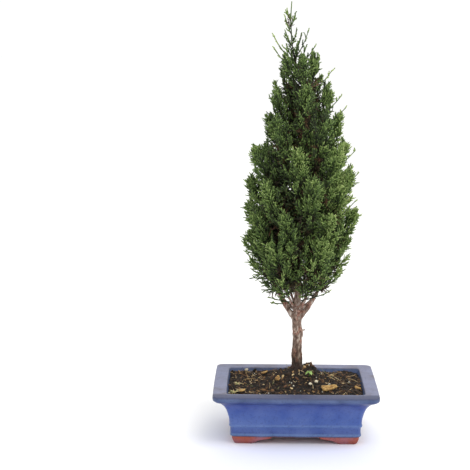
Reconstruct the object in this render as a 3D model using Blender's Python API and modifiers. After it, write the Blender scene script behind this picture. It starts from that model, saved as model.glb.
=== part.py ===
"""A young conical conifer grown as a bonsai, in a rectangular glazed pot with unglazed feet.

The frame is +Z up, in metres. The origin is on the table, under the middle of the pot. X runs along
the pot's long side and -Y faces the viewer.

The pot is one fired piece. Plastic screens, held by wire clips, cover its drainage holes. The soil
is heaped round the foot of the trunk, which forks into a leader and two first limbs and carries one
short limb for each spray of foliage. Each spray is a plain closed solid with the outline and the
place of the leafy twigs that it holds.
"""

import math
import random

import bmesh
import bpy
from mathutils import Matrix, Vector

GAP = 0.0003  # clearance between pieces that touch

# Pot: overall sizes first, then the wall's own.
POT_LENGTH = 0.200
POT_WIDTH = 0.150
POT_HEIGHT = 0.0648
POT_CORNER_RADIUS = 0.008
RIM_WIDTH = 0.0165
RIM_EDGE_ROUND = 0.0012
LIP_FACE = 0.0035  # the upright part of the lip
LIP_UNDER_ROUND = 0.0045
LIP_OVERHANG = 0.0187
COVE_HEIGHT = 0.0230  # from the underside of the lip down to the straight wall
WALL_TAPER = 0.0010
BEAD_ABOVE_FEET = 0.0146
BEAD_HEIGHT = 0.0024
BEAD_DEPTH = 0.0006
BASE_BAND_STEP = 0.0014
WALL = 0.0055
POT_FLOOR = 0.0064
FLOOR_FILLET = 0.0040

# Feet: one clay frame under the pot, cut away between the corners.
FOOT_HEIGHT = 0.0092
FOOT_WIDTH = 0.0150
FOOT_INSET = 0.0012
FOOT_TAPER = 0.0028
FOOT_LENGTH_FRONT = 0.0285  # from the pot's corner, along a long side
FOOT_LENGTH_SIDE = 0.0210  # and along a short side
FOOT_STEP_HEIGHT = 0.0038
FOOT_STEP_ROUND = 0.0018
APRON_LENGTH_FRONT = 0.0190
APRON_LENGTH_SIDE = 0.0120
APRON_END_HEIGHT = 0.0076

# Drainage
DRAIN_HOLE_RADIUS = 0.0100
DRAIN_HOLE_INSET = 0.0500  # of a hole's middle from the pot's end
SCREEN_SIZE = 0.0280
SCREEN_CELLS = 5  # odd, so that the clip's legs pass through the middle of cells
SCREEN_BAR = 0.0010
CLIP_WIRE_RADIUS = 0.0006
CLIP_LEG_REACH = 0.0140

# Soil
SOIL_BELOW_RIM = 0.0045
SOIL_RISE = 0.0185  # from the pot's wall up to the trunk
POCKET_CLEARANCE = 0.0012

# Tree
TRUNK_X = 0.0022
TRUNK_Y = 0.0060
TRUNK_RADIUS = 0.0060
ROOT_DEPTH = 0.0160  # how far the trunk's foot reaches into the soil
TRUNK_HEIGHT = 0.0720  # from the soil to the fork
TREE_HEIGHT = 0.5268  # from the table to the tip of the leader
CROWN_RADIUS = 0.0630
CORE_RADIUS = 0.0120  # of the bare wood inside the crown, at the fork
FIRST_LIMB_RADIUS = 0.0030
LIMB_RADIUS = 0.0018
LIMB_LEAD = 0.0120  # how far below its spray a limb leaves the leader
SPRAY_OFFSET = 0.0020  # of a spray's inner side from its limb's end, which clears the limbs above
STUB_HEIGHT = 0.0475  # of the broken twig, above the soil
STUB_LENGTH = 0.0042
STUB_RADIUS = 0.0010

# Tiers of sprays: base and tip as shares of the way from the fork to the tree's tip, number of
# sprays, half width, first azimuth in degrees.
TIERS = (
    ("low", 0.056, 0.234, 6, 0.0170, 180),
    ("skirt", 0.106, 0.314, 7, 0.0205, 206),
    ("waist", 0.207, 0.420, 7, 0.0210, 180),
    ("chest", 0.314, 0.527, 6, 0.0210, 200),
    ("shoulder", 0.415, 0.628, 5, 0.0190, 230),
    ("neck", 0.516, 0.718, 4, 0.0160, 195),
    ("crest", 0.622, 0.809, 3, 0.0125, 150),
)
LEADER_SPRAY_BASE = 0.750  # share of the same way
LEADER_SPRAY_HALF_WIDTH = 0.0115
# No two sprays grow alike: how far each may turn, reach and rise from its even place.
TURN_SPREAD = 7.0
REACH_SPREAD = 0.05
RISE_SPREAD = 0.006
CHANCE = random.Random(11)

ROUND_SIDES = 10
CORNER_STEPS = 4

# What lies on the soil: name, place along and across the pot as shares of the way from its middle
# to its wall, length, width, thickness, turn.
BARK_CHIPS = (
    ("bark_chip_large", 0.50, -0.61, 0.0215, 0.0092, 0.0034, 14),
    ("bark_chip_right", 0.93, -0.38, 0.0095, 0.0046, 0.0022, -38),
    ("bark_chip_middle", -0.26, -0.32, 0.0078, 0.0056, 0.0024, 70),
    ("bark_chip_left", -0.78, -0.71, 0.0090, 0.0060, 0.0022, 30),
    ("bark_chip_rear", -0.45, 0.26, 0.0095, 0.0050, 0.0020, 20),
)
PERLITE_GRAINS = (
    ("perlite_rear", -0.74, 0.84, 0.0052, 0.0044, 0.0036, 10),
    ("perlite_right", 0.31, -0.42, 0.0050, 0.0040, 0.0034, -25),
    ("perlite_middle", 0.22, -0.50, 0.0044, 0.0038, 0.0032, 40),
)
SEEDLING_ASIDE = 0.0149  # from the trunk's middle, to the right
SEEDLING_FORWARD = 0.0211
SEEDLING_LEAVES = 5


def steps(count):
    """Shares from 0 to 1, both included."""
    return [index / count for index in range(count + 1)]


def between(table, height):
    """The value at a height in a table of (height, value), straight between its rows."""
    for (low, value), (high, following) in zip(table, table[1:]):
        if height <= high:
            share = max(0.0, (height - low) / (high - low))
            return value + (following - value) * share
    return table[-1][1]


# ---------------------------------------------------------------- Blender helpers


def clear_scene():
    for old in list(bpy.data.objects):
        bpy.data.objects.remove(old)


def make_collection(name):
    made = bpy.data.collections.new(name)
    bpy.context.scene.collection.children.link(made)
    return made


def material(name, colour, roughness, metallic=0.0):
    made = bpy.data.materials.new(name)
    made.use_nodes = True
    shader = made.node_tree.nodes["Principled BSDF"]
    shader.inputs["Base Color"].default_value = (*colour, 1.0)
    shader.inputs["Roughness"].default_value = roughness
    shader.inputs["Metallic"].default_value = metallic
    return made


def add_object(name, mesh, finish=None, place=None):
    """A named object, a part in the bonsai's collection or, with no finish, a hidden helper."""
    made = bpy.data.objects.new(name, mesh)
    if finish is None:
        HELPERS.objects.link(made)
        made.hide_render = True
        made.display_type = "WIRE"
    else:
        PARTS.objects.link(made)
        made.parent = STAND
        made.data.materials.append(finish)
    if place is not None:
        made.matrix_world = place
    return made


def mesh_from(shape, name):
    """Closes a bmesh into a mesh, smooth but for its sharp edges."""
    bmesh.ops.recalc_face_normals(shape, faces=shape.faces)
    mesh = bpy.data.meshes.new(name)
    shape.to_mesh(mesh)
    shape.free()
    mesh.shade_smooth()
    mesh.set_sharp_from_angle(angle=math.radians(35))
    return mesh


def boolean(target, other, operation):
    cut = target.modifiers.new(f"{operation.lower()}_{other.name}", "BOOLEAN")
    cut.operation = operation
    cut.object = other


def rounded_rectangle(half_x, half_y, radius, z):
    """Points of a level rectangle with round corners, anticlockwise from above."""
    ring = []
    for quarter, (side_x, side_y) in enumerate(((1, 1), (-1, 1), (-1, -1), (1, -1))):
        for share in steps(CORNER_STEPS):
            angle = math.radians(90 * (quarter + share))
            x = side_x * (half_x - radius) + radius * math.cos(angle)
            y = side_y * (half_y - radius) + radius * math.sin(angle)
            ring.append(Vector((x, y, z)))
    return ring


def loft(rings):
    """A closed bmesh through rings of as many points each, flat at both ends."""
    shape = bmesh.new()
    loops = [[shape.verts.new(point) for point in ring] for ring in rings]
    for lower, upper in zip(loops, loops[1:]):
        for index, corner in enumerate(lower):
            shape.faces.new((lower[index - 1], corner, upper[index], upper[index - 1]))
    shape.faces.new(reversed(loops[0]))
    shape.faces.new(loops[-1])
    return shape


def tube(name, points, radii, sides=ROUND_SIDES, finish=None):
    """A closed round bar along the points, with its own radius at each, as a mesh object."""
    curve = bpy.data.curves.new(name, "CURVE")
    curve.dimensions = "3D"
    curve.bevel_depth = 1.0
    curve.bevel_resolution = (sides - 4) // 2
    curve.use_fill_caps = True
    curve.resolution_u = 1
    spline = curve.splines.new("POLY")
    spline.points.add(len(points) - 1)
    for knot, point, radius in zip(spline.points, points, radii):
        knot.co = (*point, 1.0)
        knot.radius = radius
    guide = bpy.data.objects.new(f"{name}_guide", curve)
    HELPERS.objects.link(guide)
    evaluated = guide.evaluated_get(bpy.context.evaluated_depsgraph_get())
    shape = bmesh.new()
    shape.from_mesh(bpy.data.meshes.new_from_object(evaluated))
    bpy.data.objects.remove(guide)
    bmesh.ops.remove_doubles(shape, verts=shape.verts, dist=0.00002)
    return add_object(name, mesh_from(shape, name), finish)


def prism(name, outline, depth, along_x):
    """A hidden cutter: an upright outline of (across, z) run right through the pot."""
    curve = bpy.data.curves.new(name, "CURVE")
    curve.dimensions = "2D"
    curve.fill_mode = "BOTH"
    curve.extrude = depth
    spline = curve.splines.new("POLY")
    spline.points.add(len(outline) - 1)
    for knot, (across, z) in zip(spline.points, outline):
        knot.co = (across, z, 0.0, 1.0)
    spline.use_cyclic_u = True
    guide = bpy.data.objects.new(f"{name}_guide", curve)
    HELPERS.objects.link(guide)
    evaluated = guide.evaluated_get(bpy.context.evaluated_depsgraph_get())
    shape = bmesh.new()
    shape.from_mesh(bpy.data.meshes.new_from_object(evaluated))
    bpy.data.objects.remove(guide)
    bmesh.ops.remove_doubles(shape, verts=shape.verts, dist=0.00002)
    turn = Matrix.Rotation(math.radians(90), 4, "X")
    if along_x:
        turn = Matrix.Rotation(math.radians(90), 4, "Z") @ turn
    bmesh.ops.transform(shape, matrix=turn, verts=shape.verts)
    return add_object(name, mesh_from(shape, name))


def cylinder(name, radius, low, high, x):
    """A hidden upright cutter."""
    shape = bmesh.new()
    bmesh.ops.create_cone(
        shape, cap_ends=True, segments=24, radius1=radius, radius2=radius, depth=high - low
    )
    bmesh.ops.translate(shape, verts=shape.verts, vec=(x, 0, (low + high) / 2))
    return add_object(name, mesh_from(shape, name))


# ---------------------------------------------------------------- pot

LIP_UNDERSIDE = POT_HEIGHT - LIP_FACE - LIP_UNDER_ROUND
COVE_BOTTOM = LIP_UNDERSIDE - COVE_HEIGHT
COVE_START = 0.0065  # inset at which the lip's round underside turns into the cove
BODY_INSET = LIP_OVERHANG + WALL_TAPER
BAND_INSET = BODY_INSET + BASE_BAND_STEP
BEAD_HEIGHT_AT = FOOT_HEIGHT + BEAD_ABOVE_FEET
FLOOR_TOP = FOOT_HEIGHT + POT_FLOOR


def pot_ring(inset, z):
    """The pot's outline at an inset from the rim's outer edge. Its corners tighten as it shrinks."""
    radius = max(POT_CORNER_RADIUS - 0.15 * inset, 0.002)
    return rounded_rectangle(POT_LENGTH / 2 - inset, POT_WIDTH / 2 - inset, radius, z)


def outer_wall():
    """(inset, height) up the outside: base band, bead, straight wall, cove and rounded lip."""
    edge = 0.0012
    profile = [
        (BAND_INSET + edge, FOOT_HEIGHT),
        (BAND_INSET - BEAD_DEPTH, FOOT_HEIGHT + edge),
        (BAND_INSET - BEAD_DEPTH, FOOT_HEIGHT + 2 * edge),
        (BAND_INSET, FOOT_HEIGHT + 3 * edge),
        (BAND_INSET, BEAD_HEIGHT_AT - 1.5 * BEAD_HEIGHT),
        (BODY_INSET - 0.6 * BEAD_DEPTH, BEAD_HEIGHT_AT - BEAD_HEIGHT / 2),
        (BODY_INSET - BEAD_DEPTH, BEAD_HEIGHT_AT),
        (BODY_INSET, BEAD_HEIGHT_AT + BEAD_HEIGHT / 2),
    ]
    for share in steps(6):
        angle = math.radians(90 * share)
        inset = COVE_START + (LIP_OVERHANG - COVE_START) * math.cos(angle)
        profile.append((inset, COVE_BOTTOM + COVE_HEIGHT * math.sin(angle)))
    for share in steps(3)[1:]:
        angle = math.radians(90 * share)
        inset = COVE_START * (1 - math.sin(angle))
        profile.append((inset, LIP_UNDERSIDE + LIP_UNDER_ROUND * (1 - math.cos(angle))))
    for share in steps(2):
        angle = math.radians(90 * share)
        inset = RIM_EDGE_ROUND * (1 - math.cos(angle))
        profile.append((inset, POT_HEIGHT - RIM_EDGE_ROUND * (1 - math.sin(angle))))
    return profile


def inner_inset(z):
    """How far the inner wall is from the rim's outer edge at a height above the floor's fillet."""
    top = POT_HEIGHT - RIM_EDGE_ROUND
    low_inset = LIP_OVERHANG + WALL
    if z <= COVE_BOTTOM:
        return low_inset + WALL_TAPER * (COVE_BOTTOM - z) / (COVE_BOTTOM - FLOOR_TOP)
    share = (top - z) / (top - COVE_BOTTOM)
    return RIM_WIDTH + (low_inset - RIM_WIDTH) * math.sin(math.radians(90 * share))


def inner_wall():
    """(inset, height) down the inside, from the rim to the floor."""
    top = POT_HEIGHT - RIM_EDGE_ROUND
    profile = [(RIM_WIDTH - RIM_EDGE_ROUND, POT_HEIGHT)]
    for share in steps(5):
        z = top + (COVE_BOTTOM - top) * share
        profile.append((inner_inset(z), z))
    fillet_top = FLOOR_TOP + FLOOR_FILLET
    for share in steps(2):
        angle = math.radians(90 * share)
        inset = inner_inset(fillet_top) + FLOOR_FILLET * (1 - math.cos(angle))
        profile.append((inset, fillet_top - FLOOR_FILLET * math.sin(angle)))
    return profile


def foot_gap(half_side, foot_length, apron_length):
    """The upright outline of the opening between two feet: each foot ends in a round, then an apron."""
    foot_end = half_side - foot_length
    apron_end = foot_end - apron_length
    half = [(foot_end, -0.001)]
    for share in steps(2):
        angle = math.radians(90 * share)
        across = foot_end - FOOT_STEP_ROUND * (1 - math.cos(angle))
        half.append((across, FOOT_STEP_HEIGHT - FOOT_STEP_ROUND * (1 - math.sin(angle))))
    half.append((apron_end, APRON_END_HEIGHT))
    half.append((apron_end - 0.0004, FOOT_HEIGHT + 0.0005))
    return half + [(-across, z) for across, z in reversed(half)]


def build_foot_frame():
    """The clay under the pot, before it is joined on: a tapered frame cut away between its corners."""
    overlap = 0.0015
    base = BAND_INSET + FOOT_INSET
    rings = [
        pot_ring(base + FOOT_TAPER, 0.0),
        pot_ring(base + FOOT_TAPER / 3, FOOT_HEIGHT / 2),
        pot_ring(base, FOOT_HEIGHT + overlap),
    ]
    frame = add_object("foot_frame", mesh_from(loft(rings), "foot_frame"))
    within = base + FOOT_WIDTH
    hollow_rings = [pot_ring(within, -overlap), pot_ring(within, FOOT_HEIGHT + 2 * overlap)]
    hollow = add_object("foot_frame_hollow", mesh_from(loft(hollow_rings), "foot_frame_hollow"))
    boolean(frame, hollow, "DIFFERENCE")
    front = foot_gap(POT_LENGTH / 2 - base, FOOT_LENGTH_FRONT, APRON_LENGTH_FRONT)
    side = foot_gap(POT_WIDTH / 2 - base, FOOT_LENGTH_SIDE, APRON_LENGTH_SIDE)
    boolean(frame, prism("foot_gap_front", front, POT_WIDTH, False), "DIFFERENCE")
    boolean(frame, prism("foot_gap_side", side, POT_LENGTH, True), "DIFFERENCE")
    return frame


def build_pot(glaze):
    rings = [pot_ring(inset, z) for inset, z in outer_wall() + inner_wall()]
    pot = add_object("pot", mesh_from(loft(rings), "pot"), glaze)
    boolean(pot, build_foot_frame(), "UNION")
    for side, x in drain_places():
        hole = cylinder(f"drain_hole_{side}", DRAIN_HOLE_RADIUS, 0.0, FLOOR_TOP + 0.005, x)
        boolean(pot, hole, "DIFFERENCE")


# ---------------------------------------------------------------- drainage screens


def drain_places():
    aside = POT_LENGTH / 2 - DRAIN_HOLE_INSET
    return (("left", -aside), ("right", aside))


SCREEN_MIDDLE = FLOOR_TOP + GAP + SCREEN_BAR / 2
CLIP_TOP = FLOOR_TOP + SCREEN_BAR + 2 * GAP + CLIP_WIRE_RADIUS


def build_screen(side, x, plastic):
    """A square of plastic netting: a grid whose edges become bars."""
    shape = bmesh.new()
    bmesh.ops.create_grid(
        shape, x_segments=SCREEN_CELLS, y_segments=SCREEN_CELLS, size=SCREEN_SIZE / 2
    )
    mesh = bpy.data.meshes.new(f"screen_{side}")
    shape.to_mesh(mesh)
    shape.free()
    screen = add_object(f"drain_screen_{side}", mesh, plastic)
    screen.location = (x, 0, SCREEN_MIDDLE)
    bars = screen.modifiers.new("bars", "WIREFRAME")
    bars.thickness = SCREEN_BAR
    bars.use_boundary = True
    bars.use_even_offset = True


def build_clip(side, x, wire):
    """A wire staple over the screen, down through two of its cells, and bent out under the pot."""
    leg = SCREEN_SIZE / SCREEN_CELLS
    under = FOOT_HEIGHT - GAP - CLIP_WIRE_RADIUS
    half = [(leg, CLIP_TOP), (leg, under), (CLIP_LEG_REACH, under)]
    path = [(x - across, 0, z) for across, z in reversed(half)]
    path += [(x + across, 0, z) for across, z in half]
    tube(f"screen_clip_{side}", path, [CLIP_WIRE_RADIUS] * len(path), sides=8, finish=wire)


# ---------------------------------------------------------------- soil and what lies on it

SOIL_EDGE = POT_HEIGHT - SOIL_BELOW_RIM
SOIL_TOP = SOIL_EDGE + SOIL_RISE
SOIL_HALF_LENGTH = POT_LENGTH / 2 - inner_inset(SOIL_EDGE)
SOIL_HALF_WIDTH = POT_WIDTH / 2 - inner_inset(SOIL_EDGE)
# The heap's height, as a share of its rise, against the share of the way from the trunk to the wall.
SOIL_SLOPE = ((0.0, 1.0), (0.22, 1.0), (0.42, 0.56), (0.70, 0.20), (1.0, 0.0))


def soil_surface(x, y):
    """Height of the heap: its level outlines shrink from the wall's towards the trunk."""
    shares = []
    for place, middle, edge in ((x, TRUNK_X, SOIL_HALF_LENGTH), (y, TRUNK_Y, SOIL_HALF_WIDTH)):
        room = edge - middle if place > middle else edge + middle
        shares.append(abs(place - middle) / room)
    return SOIL_EDGE + SOIL_RISE * between(SOIL_SLOPE, max(shares))


def build_soil(earth):
    """The soil fills the pot and is heaped to the trunk, whose foot and the screens are cut out."""
    bottom = FLOOR_TOP + GAP
    fillet_top = FLOOR_TOP + FLOOR_FILLET
    rings = [pot_ring(inner_inset(fillet_top) + FLOOR_FILLET + GAP, bottom)]
    for z in (fillet_top, COVE_BOTTOM, (COVE_BOTTOM + SOIL_EDGE) / 2, SOIL_EDGE):
        rings.append(pot_ring(inner_inset(z) + 2 * GAP, z))
    trunk_foot = Vector((TRUNK_X, TRUNK_Y, 0))
    edge = [Vector((point.x, point.y, 0)) for point in rings[-1]]
    for share, rise in reversed(SOIL_SLOPE[1:-1]):
        z = Vector((0, 0, SOIL_EDGE + SOIL_RISE * rise))
        rings.append([trunk_foot.lerp(point, share) + z for point in edge])
    soil = add_object("soil", mesh_from(loft(rings), "soil"), earth)
    points, radii = trunk_foot_rows(GAP)
    boolean(soil, tube("trunk_socket", points, radii), "DIFFERENCE")
    pocket_top = CLIP_TOP + CLIP_WIRE_RADIUS + GAP
    side = SCREEN_SIZE + SCREEN_BAR + 2 * POCKET_CLEARANCE
    for name, x in drain_places():
        shape = bmesh.new()
        bmesh.ops.create_cube(shape, size=1.0)
        bmesh.ops.scale(shape, vec=(side, side, 2 * (pocket_top - bottom)), verts=shape.verts)
        bmesh.ops.translate(shape, vec=(x, 0, bottom), verts=shape.verts)
        pocket = add_object(f"screen_pocket_{name}", mesh_from(shape, "screen_pocket"))
        boolean(soil, pocket, "DIFFERENCE")


def lie_on_soil(x, y, length, width, thickness, turn):
    """Place and tilt of a small thing that lies on the heap's slope with its middle at (x, y)."""
    angle = math.radians(turn)

    def under(along, across):
        place_x = x + (along * length * math.cos(angle) - across * width * math.sin(angle)) / 2
        place_y = y + (along * length * math.sin(angle) + across * width * math.cos(angle)) / 2
        return Vector((place_x, place_y, soil_surface(place_x, place_y)))

    ahead = (under(1, 0) - under(-1, 0)).normalized()
    up = ahead.cross(under(0, 1) - under(0, -1)).normalized()
    middle = under(0, 0)
    spread = [2 * share - 1 for share in steps(4)]
    lift = max((under(along, across) - middle).dot(up) for along in spread for across in spread)
    place = Matrix((ahead, up.cross(ahead), up)).transposed().to_4x4()
    place.translation = middle + up * (lift + thickness / 2 + GAP)
    return place


def build_chip(name, along, across, length, width, thickness, turn, bark):
    """A flake of bark: a thin block, narrower at one end, with its edges worn round."""
    shape = bmesh.new()
    bmesh.ops.create_cube(shape, size=1.0)
    for corner in shape.verts:
        corner.co.y *= 0.82 - 0.36 * corner.co.x
    bmesh.ops.scale(shape, vec=(length, width, thickness), verts=shape.verts)
    x, y = along * SOIL_HALF_LENGTH, across * SOIL_HALF_WIDTH
    place = lie_on_soil(x, y, length, width, thickness, turn)
    chip = add_object(name, mesh_from(shape, name), bark, place)
    worn = chip.modifiers.new("worn_edges", "BEVEL")
    worn.width = thickness * 0.3
    worn.segments = 2


def build_grain(name, along, across, length, width, thickness, turn, stone):
    """A grain of perlite: a lumpy little stone."""
    shape = bmesh.new()
    bmesh.ops.create_icosphere(shape, subdivisions=2, radius=0.5)
    for corner in shape.verts:
        corner.co *= 1 - 0.08 * math.sin(9 * corner.co.x + 2) - 0.06 * math.cos(11 * corner.co.y)
    bmesh.ops.scale(shape, vec=(length, width, thickness * 0.87), verts=shape.verts)
    x, y = along * SOIL_HALF_LENGTH, across * SOIL_HALF_WIDTH
    place = lie_on_soil(x, y, length, width, thickness, turn)
    add_object(name, mesh_from(shape, name), stone, place)


def build_seedling(leaf):
    """A weed seedling: a short stem with small leaves round it."""
    x, y = TRUNK_X + SEEDLING_ASIDE, TRUNK_Y - SEEDLING_FORWARD
    foot = Vector((x, y, soil_surface(x, y) + 2 * GAP))
    rise = ((0.0, 0.0010), (0.0024, 0.0008), (0.0050, 0.0010))
    stem = [foot + Vector((0, 0, z)) for z, _ in rise]
    seedling = tube("seedling", stem, [radius for _, radius in rise], sides=8, finish=leaf)
    for index in range(SEEDLING_LEAVES):
        shape = bmesh.new()
        bmesh.ops.create_uvsphere(shape, u_segments=8, v_segments=5, radius=0.5)
        bmesh.ops.scale(shape, vec=(0.0056, 0.0034, 0.0011), verts=shape.verts)
        bmesh.ops.translate(shape, vec=(0.0027, 0, 0), verts=shape.verts)
        tilt = Matrix.Rotation(math.radians(-24), 4, "Y")
        spin = Matrix.Rotation(math.radians(360 * index / SEEDLING_LEAVES + 20), 4, "Z")
        lift = Matrix.Translation(foot + Vector((0, 0, 0.0042 + 0.0004 * (index % 2))))
        bmesh.ops.transform(shape, matrix=lift @ spin @ tilt, verts=shape.verts)
        blade = add_object(f"seedling_leaf_{index}", mesh_from(shape, "seedling_leaf"))
        boolean(seedling, blade, "UNION")


# ---------------------------------------------------------------- tree

FORK = SOIL_TOP + TRUNK_HEIGHT
# The crown's outline, as shares of its length from fork to tip and of its radius.
CROWN_OUTLINE = (
    (0.04, 0.30), (0.14, 0.70), (0.20, 0.84), (0.29, 0.97), (0.40, 1.0), (0.50, 0.92),
    (0.56, 0.76), (0.68, 0.60), (0.78, 0.36), (0.86, 0.20), (0.93, 0.12), (1.0, 0.02),
)
# How far the leader wanders from the trunk's line on its way up, along X and Y.
LEADER_LEAN = ((0.0, 0.0), (0.2, 0.002), (0.4, 0.004), (0.62, 0.005), (0.8, 0.002), (1.0, -0.0095))
LEADER_SWAY = ((0.0, 0.0), (0.3, -0.003), (0.6, -0.001), (1.0, -0.002))
# The leader's radius above the fork, as shares of the trunk's.
LEADER_TAPER = ((0.0, 1.1), (0.03, 0.75), (0.3, 0.55), (0.6, 0.34), (0.78, 0.20), (1.0, 0.10))


def up_the_crown(z):
    return (z - FORK) / (TREE_HEIGHT - FORK)


def crown_height(share):
    return FORK + share * (TREE_HEIGHT - FORK)


def leader(z):
    """The leader's centre line at a height."""
    share = up_the_crown(z)
    return Vector((TRUNK_X + between(LEADER_LEAN, share), TRUNK_Y + between(LEADER_SWAY, share), z))


def leader_radius(z):
    return TRUNK_RADIUS * between(LEADER_TAPER, up_the_crown(z))


def core_radius(z):
    """Half the width of the leafless heart of the crown, where the limbs leave the leader."""
    return leader_radius(z) + LIMB_RADIUS + CORE_RADIUS * (1 - up_the_crown(z))


def outward(azimuth):
    angle = math.radians(azimuth)
    return Vector((math.cos(angle), math.sin(angle), 0))


def trunk_foot_rows(grow=0.0):
    """Centre line and radii of the trunk's foot, which the soil holds."""
    low = SOIL_TOP - ROOT_DEPTH
    rows = (
        (low - grow, 0.80),
        (low + 0.006, 1.14),
        (SOIL_TOP - 0.002, 1.22),
        (SOIL_TOP + 0.002, 1.15),
    )
    points = [(TRUNK_X, TRUNK_Y, z) for z, _ in rows]
    return points, [TRUNK_RADIUS * share + grow for _, share in rows]


class Spray:
    """One leafy branch: its limb's end, its own tip, its half width and the planes that bound it."""

    def __init__(self, name, base, tip, half_width, way):
        self.name = name
        self.base = base
        self.tip = tip
        self.half_width = half_width
        self.way = way
        self.direction = (tip - base).normalized()
        self.planes = [(base, -self.direction)]
        if way.length > 0:
            self.planes.append((base + way * SPRAY_OFFSET, -way))

    def axis(self):
        """Points along the spray, leaving out its foot, where all sprays come close."""
        return [self.base.lerp(self.tip, 0.2 + 0.8 * share) for share in steps(8)]


def lay_out_sprays():
    """The tiers of sprays, each swept up and out from the leader to the crown's outline."""
    sprays = []
    for tier, base_share, tip_share, count, half_width, first in TIERS:
        base_z = crown_height(base_share)
        for index in range(count):
            turn = TURN_SPREAD * CHANCE.uniform(-1, 1)
            way = outward(first + 360 * index / count + turn)
            top = crown_height(tip_share) + RISE_SPREAD * CHANCE.uniform(-1, 1)
            reach = CROWN_RADIUS * between(CROWN_OUTLINE, up_the_crown(top))
            reach *= 1 + REACH_SPREAD * CHANCE.uniform(-1, 1)
            base = leader(base_z) + way * core_radius(base_z)
            tip = leader(top) + way * reach
            sprays.append(Spray(f"spray_{tier}_{index + 1}", base, tip, half_width, way))
    base = leader(crown_height(LEADER_SPRAY_BASE))
    tip = leader(TREE_HEIGHT)
    sprays.append(Spray("spray_leader", base, tip, LEADER_SPRAY_HALF_WIDTH, Vector()))
    for index, spray in enumerate(sprays):
        for other in sprays[:index]:
            part(spray, other)
    return sprays


def part(spray, other):
    """Parts two sprays by a plane across the way between their axes where they come nearest."""
    pairs = [(a, b) for a in spray.axis() for b in other.axis()]
    near, far = min(pairs, key=lambda pair: (pair[0] - pair[1]).length)
    away = (far - near).normalized()
    share = spray.half_width / (spray.half_width + other.half_width)
    middle = near.lerp(far, share)
    spray.planes.append((middle - away * GAP / 2, away))
    other.planes.append((middle + away * GAP / 2, -away))


def spray_shape(spray):
    """A pointed egg that starts a little below the spray's base and ends at its tip."""
    below = 0.12 * spray.half_width
    length = (spray.tip - spray.base).length + below
    shape = bmesh.new()
    bmesh.ops.create_uvsphere(shape, u_segments=12, v_segments=8, radius=1.0)
    for corner in shape.verts:
        narrow = 1.0 - 0.14 * (corner.co.z + 1)
        corner.co.x *= spray.half_width * narrow
        corner.co.y *= spray.half_width * narrow
        corner.co.z = (corner.co.z + 1) / 2 * length - below
    place = Matrix.Translation(spray.base)
    place @= spray.direction.to_track_quat("Z", "Y").to_matrix().to_4x4()
    bmesh.ops.transform(shape, matrix=place, verts=shape.verts)
    return shape


def build_spray(spray, leaves):
    """The egg, cut by the planes that bound it. All of it is convex, so its hull closes the cuts."""
    shape = spray_shape(spray)
    for point, normal in spray.planes:
        bmesh.ops.bisect_plane(
            shape,
            geom=[*shape.verts, *shape.edges, *shape.faces],
            dist=0.00002,
            plane_co=point,
            plane_no=normal,
            clear_outer=True,
        )
    bmesh.ops.remove_doubles(shape, verts=shape.verts, dist=0.0003)
    bmesh.ops.delete(shape, geom=[*shape.edges, *shape.faces], context="EDGES_FACES")
    bmesh.ops.convex_hull(shape, input=shape.verts)
    within = [corner for corner in shape.verts if not corner.link_faces]
    bmesh.ops.delete(shape, geom=within, context="VERTS")
    add_object(spray.name, mesh_from(shape, spray.name), leaves)


def first_limb(spray):
    """The low spray to the left or right, whichever is nearer, whose limb carries this one too."""
    side = [other for other in SPRAYS if "_low_" in other.name and abs(other.way.x) > 0.9]
    return min(side, key=lambda other: (other.way - spray.way).length)


def limb_route(spray, bearer):
    """From inside the wood that bears it, up and out to just short of its spray."""
    end = spray.base - spray.direction * GAP
    if bearer is spray:
        start = leader(FORK - 0.004)
        return [start, start.lerp(end, 0.5) + spray.way * 0.0015, end]
    if bearer is not None:
        fork = leader(FORK - 0.004)
        start = fork.lerp(bearer.base, 0.55)
        return [start, start.lerp(end, 0.5) - Vector((0, 0, 0.0012)), end]
    start = leader(spray.base.z - LIMB_LEAD)
    return [start, start.lerp(end, 0.55) + spray.way * 0.001, end]


def build_trunk(bark):
    """The trunk with its foot, leader, broken twig and a limb for each spray, in one solid."""
    points, radii = trunk_foot_rows()
    heights = [
        (SOIL_TOP + 0.010, 1.05),
        (SOIL_TOP + 0.030, 1.0),
        (SOIL_TOP + 0.052, 0.98),
        (FORK - 0.012, 1.0),
        (FORK - 0.002, 1.16),
    ]
    points += [tuple(leader(z)) for z, _ in heights]
    radii += [TRUNK_RADIUS * share for _, share in heights]
    top = crown_height(LEADER_SPRAY_BASE) - GAP
    for share in steps(8)[1:]:
        z = FORK + (top - FORK) * share
        points.append(tuple(leader(z)))
        radii.append(leader_radius(z))
    trunk = tube("trunk", points, radii, finish=bark)
    stub_foot = leader(SOIL_TOP + STUB_HEIGHT)
    stub_end = stub_foot + Vector((TRUNK_RADIUS + STUB_LENGTH, 0, STUB_LENGTH / 2))
    stub = tube("broken_twig", [stub_foot, stub_end], [STUB_RADIUS] * 2, sides=6)
    boolean(trunk, stub, "UNION")
    for spray in SPRAYS[:-1]:
        bearer = first_limb(spray) if "_low_" in spray.name else None
        radius = LIMB_RADIUS * (1 - 0.5 * up_the_crown(spray.base.z))
        if bearer is spray:
            radius = FIRST_LIMB_RADIUS
        radii = [1.15 * radius, radius, 0.85 * radius]
        limb = tube(f"limb_{spray.name}", limb_route(spray, bearer), radii, sides=8)
        boolean(trunk, limb, "UNION")


clear_scene()
PARTS = make_collection("bonsai")
HELPERS = make_collection("helpers")
STAND = bpy.data.objects.new("bonsai_origin", None)
PARTS.objects.link(STAND)

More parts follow.
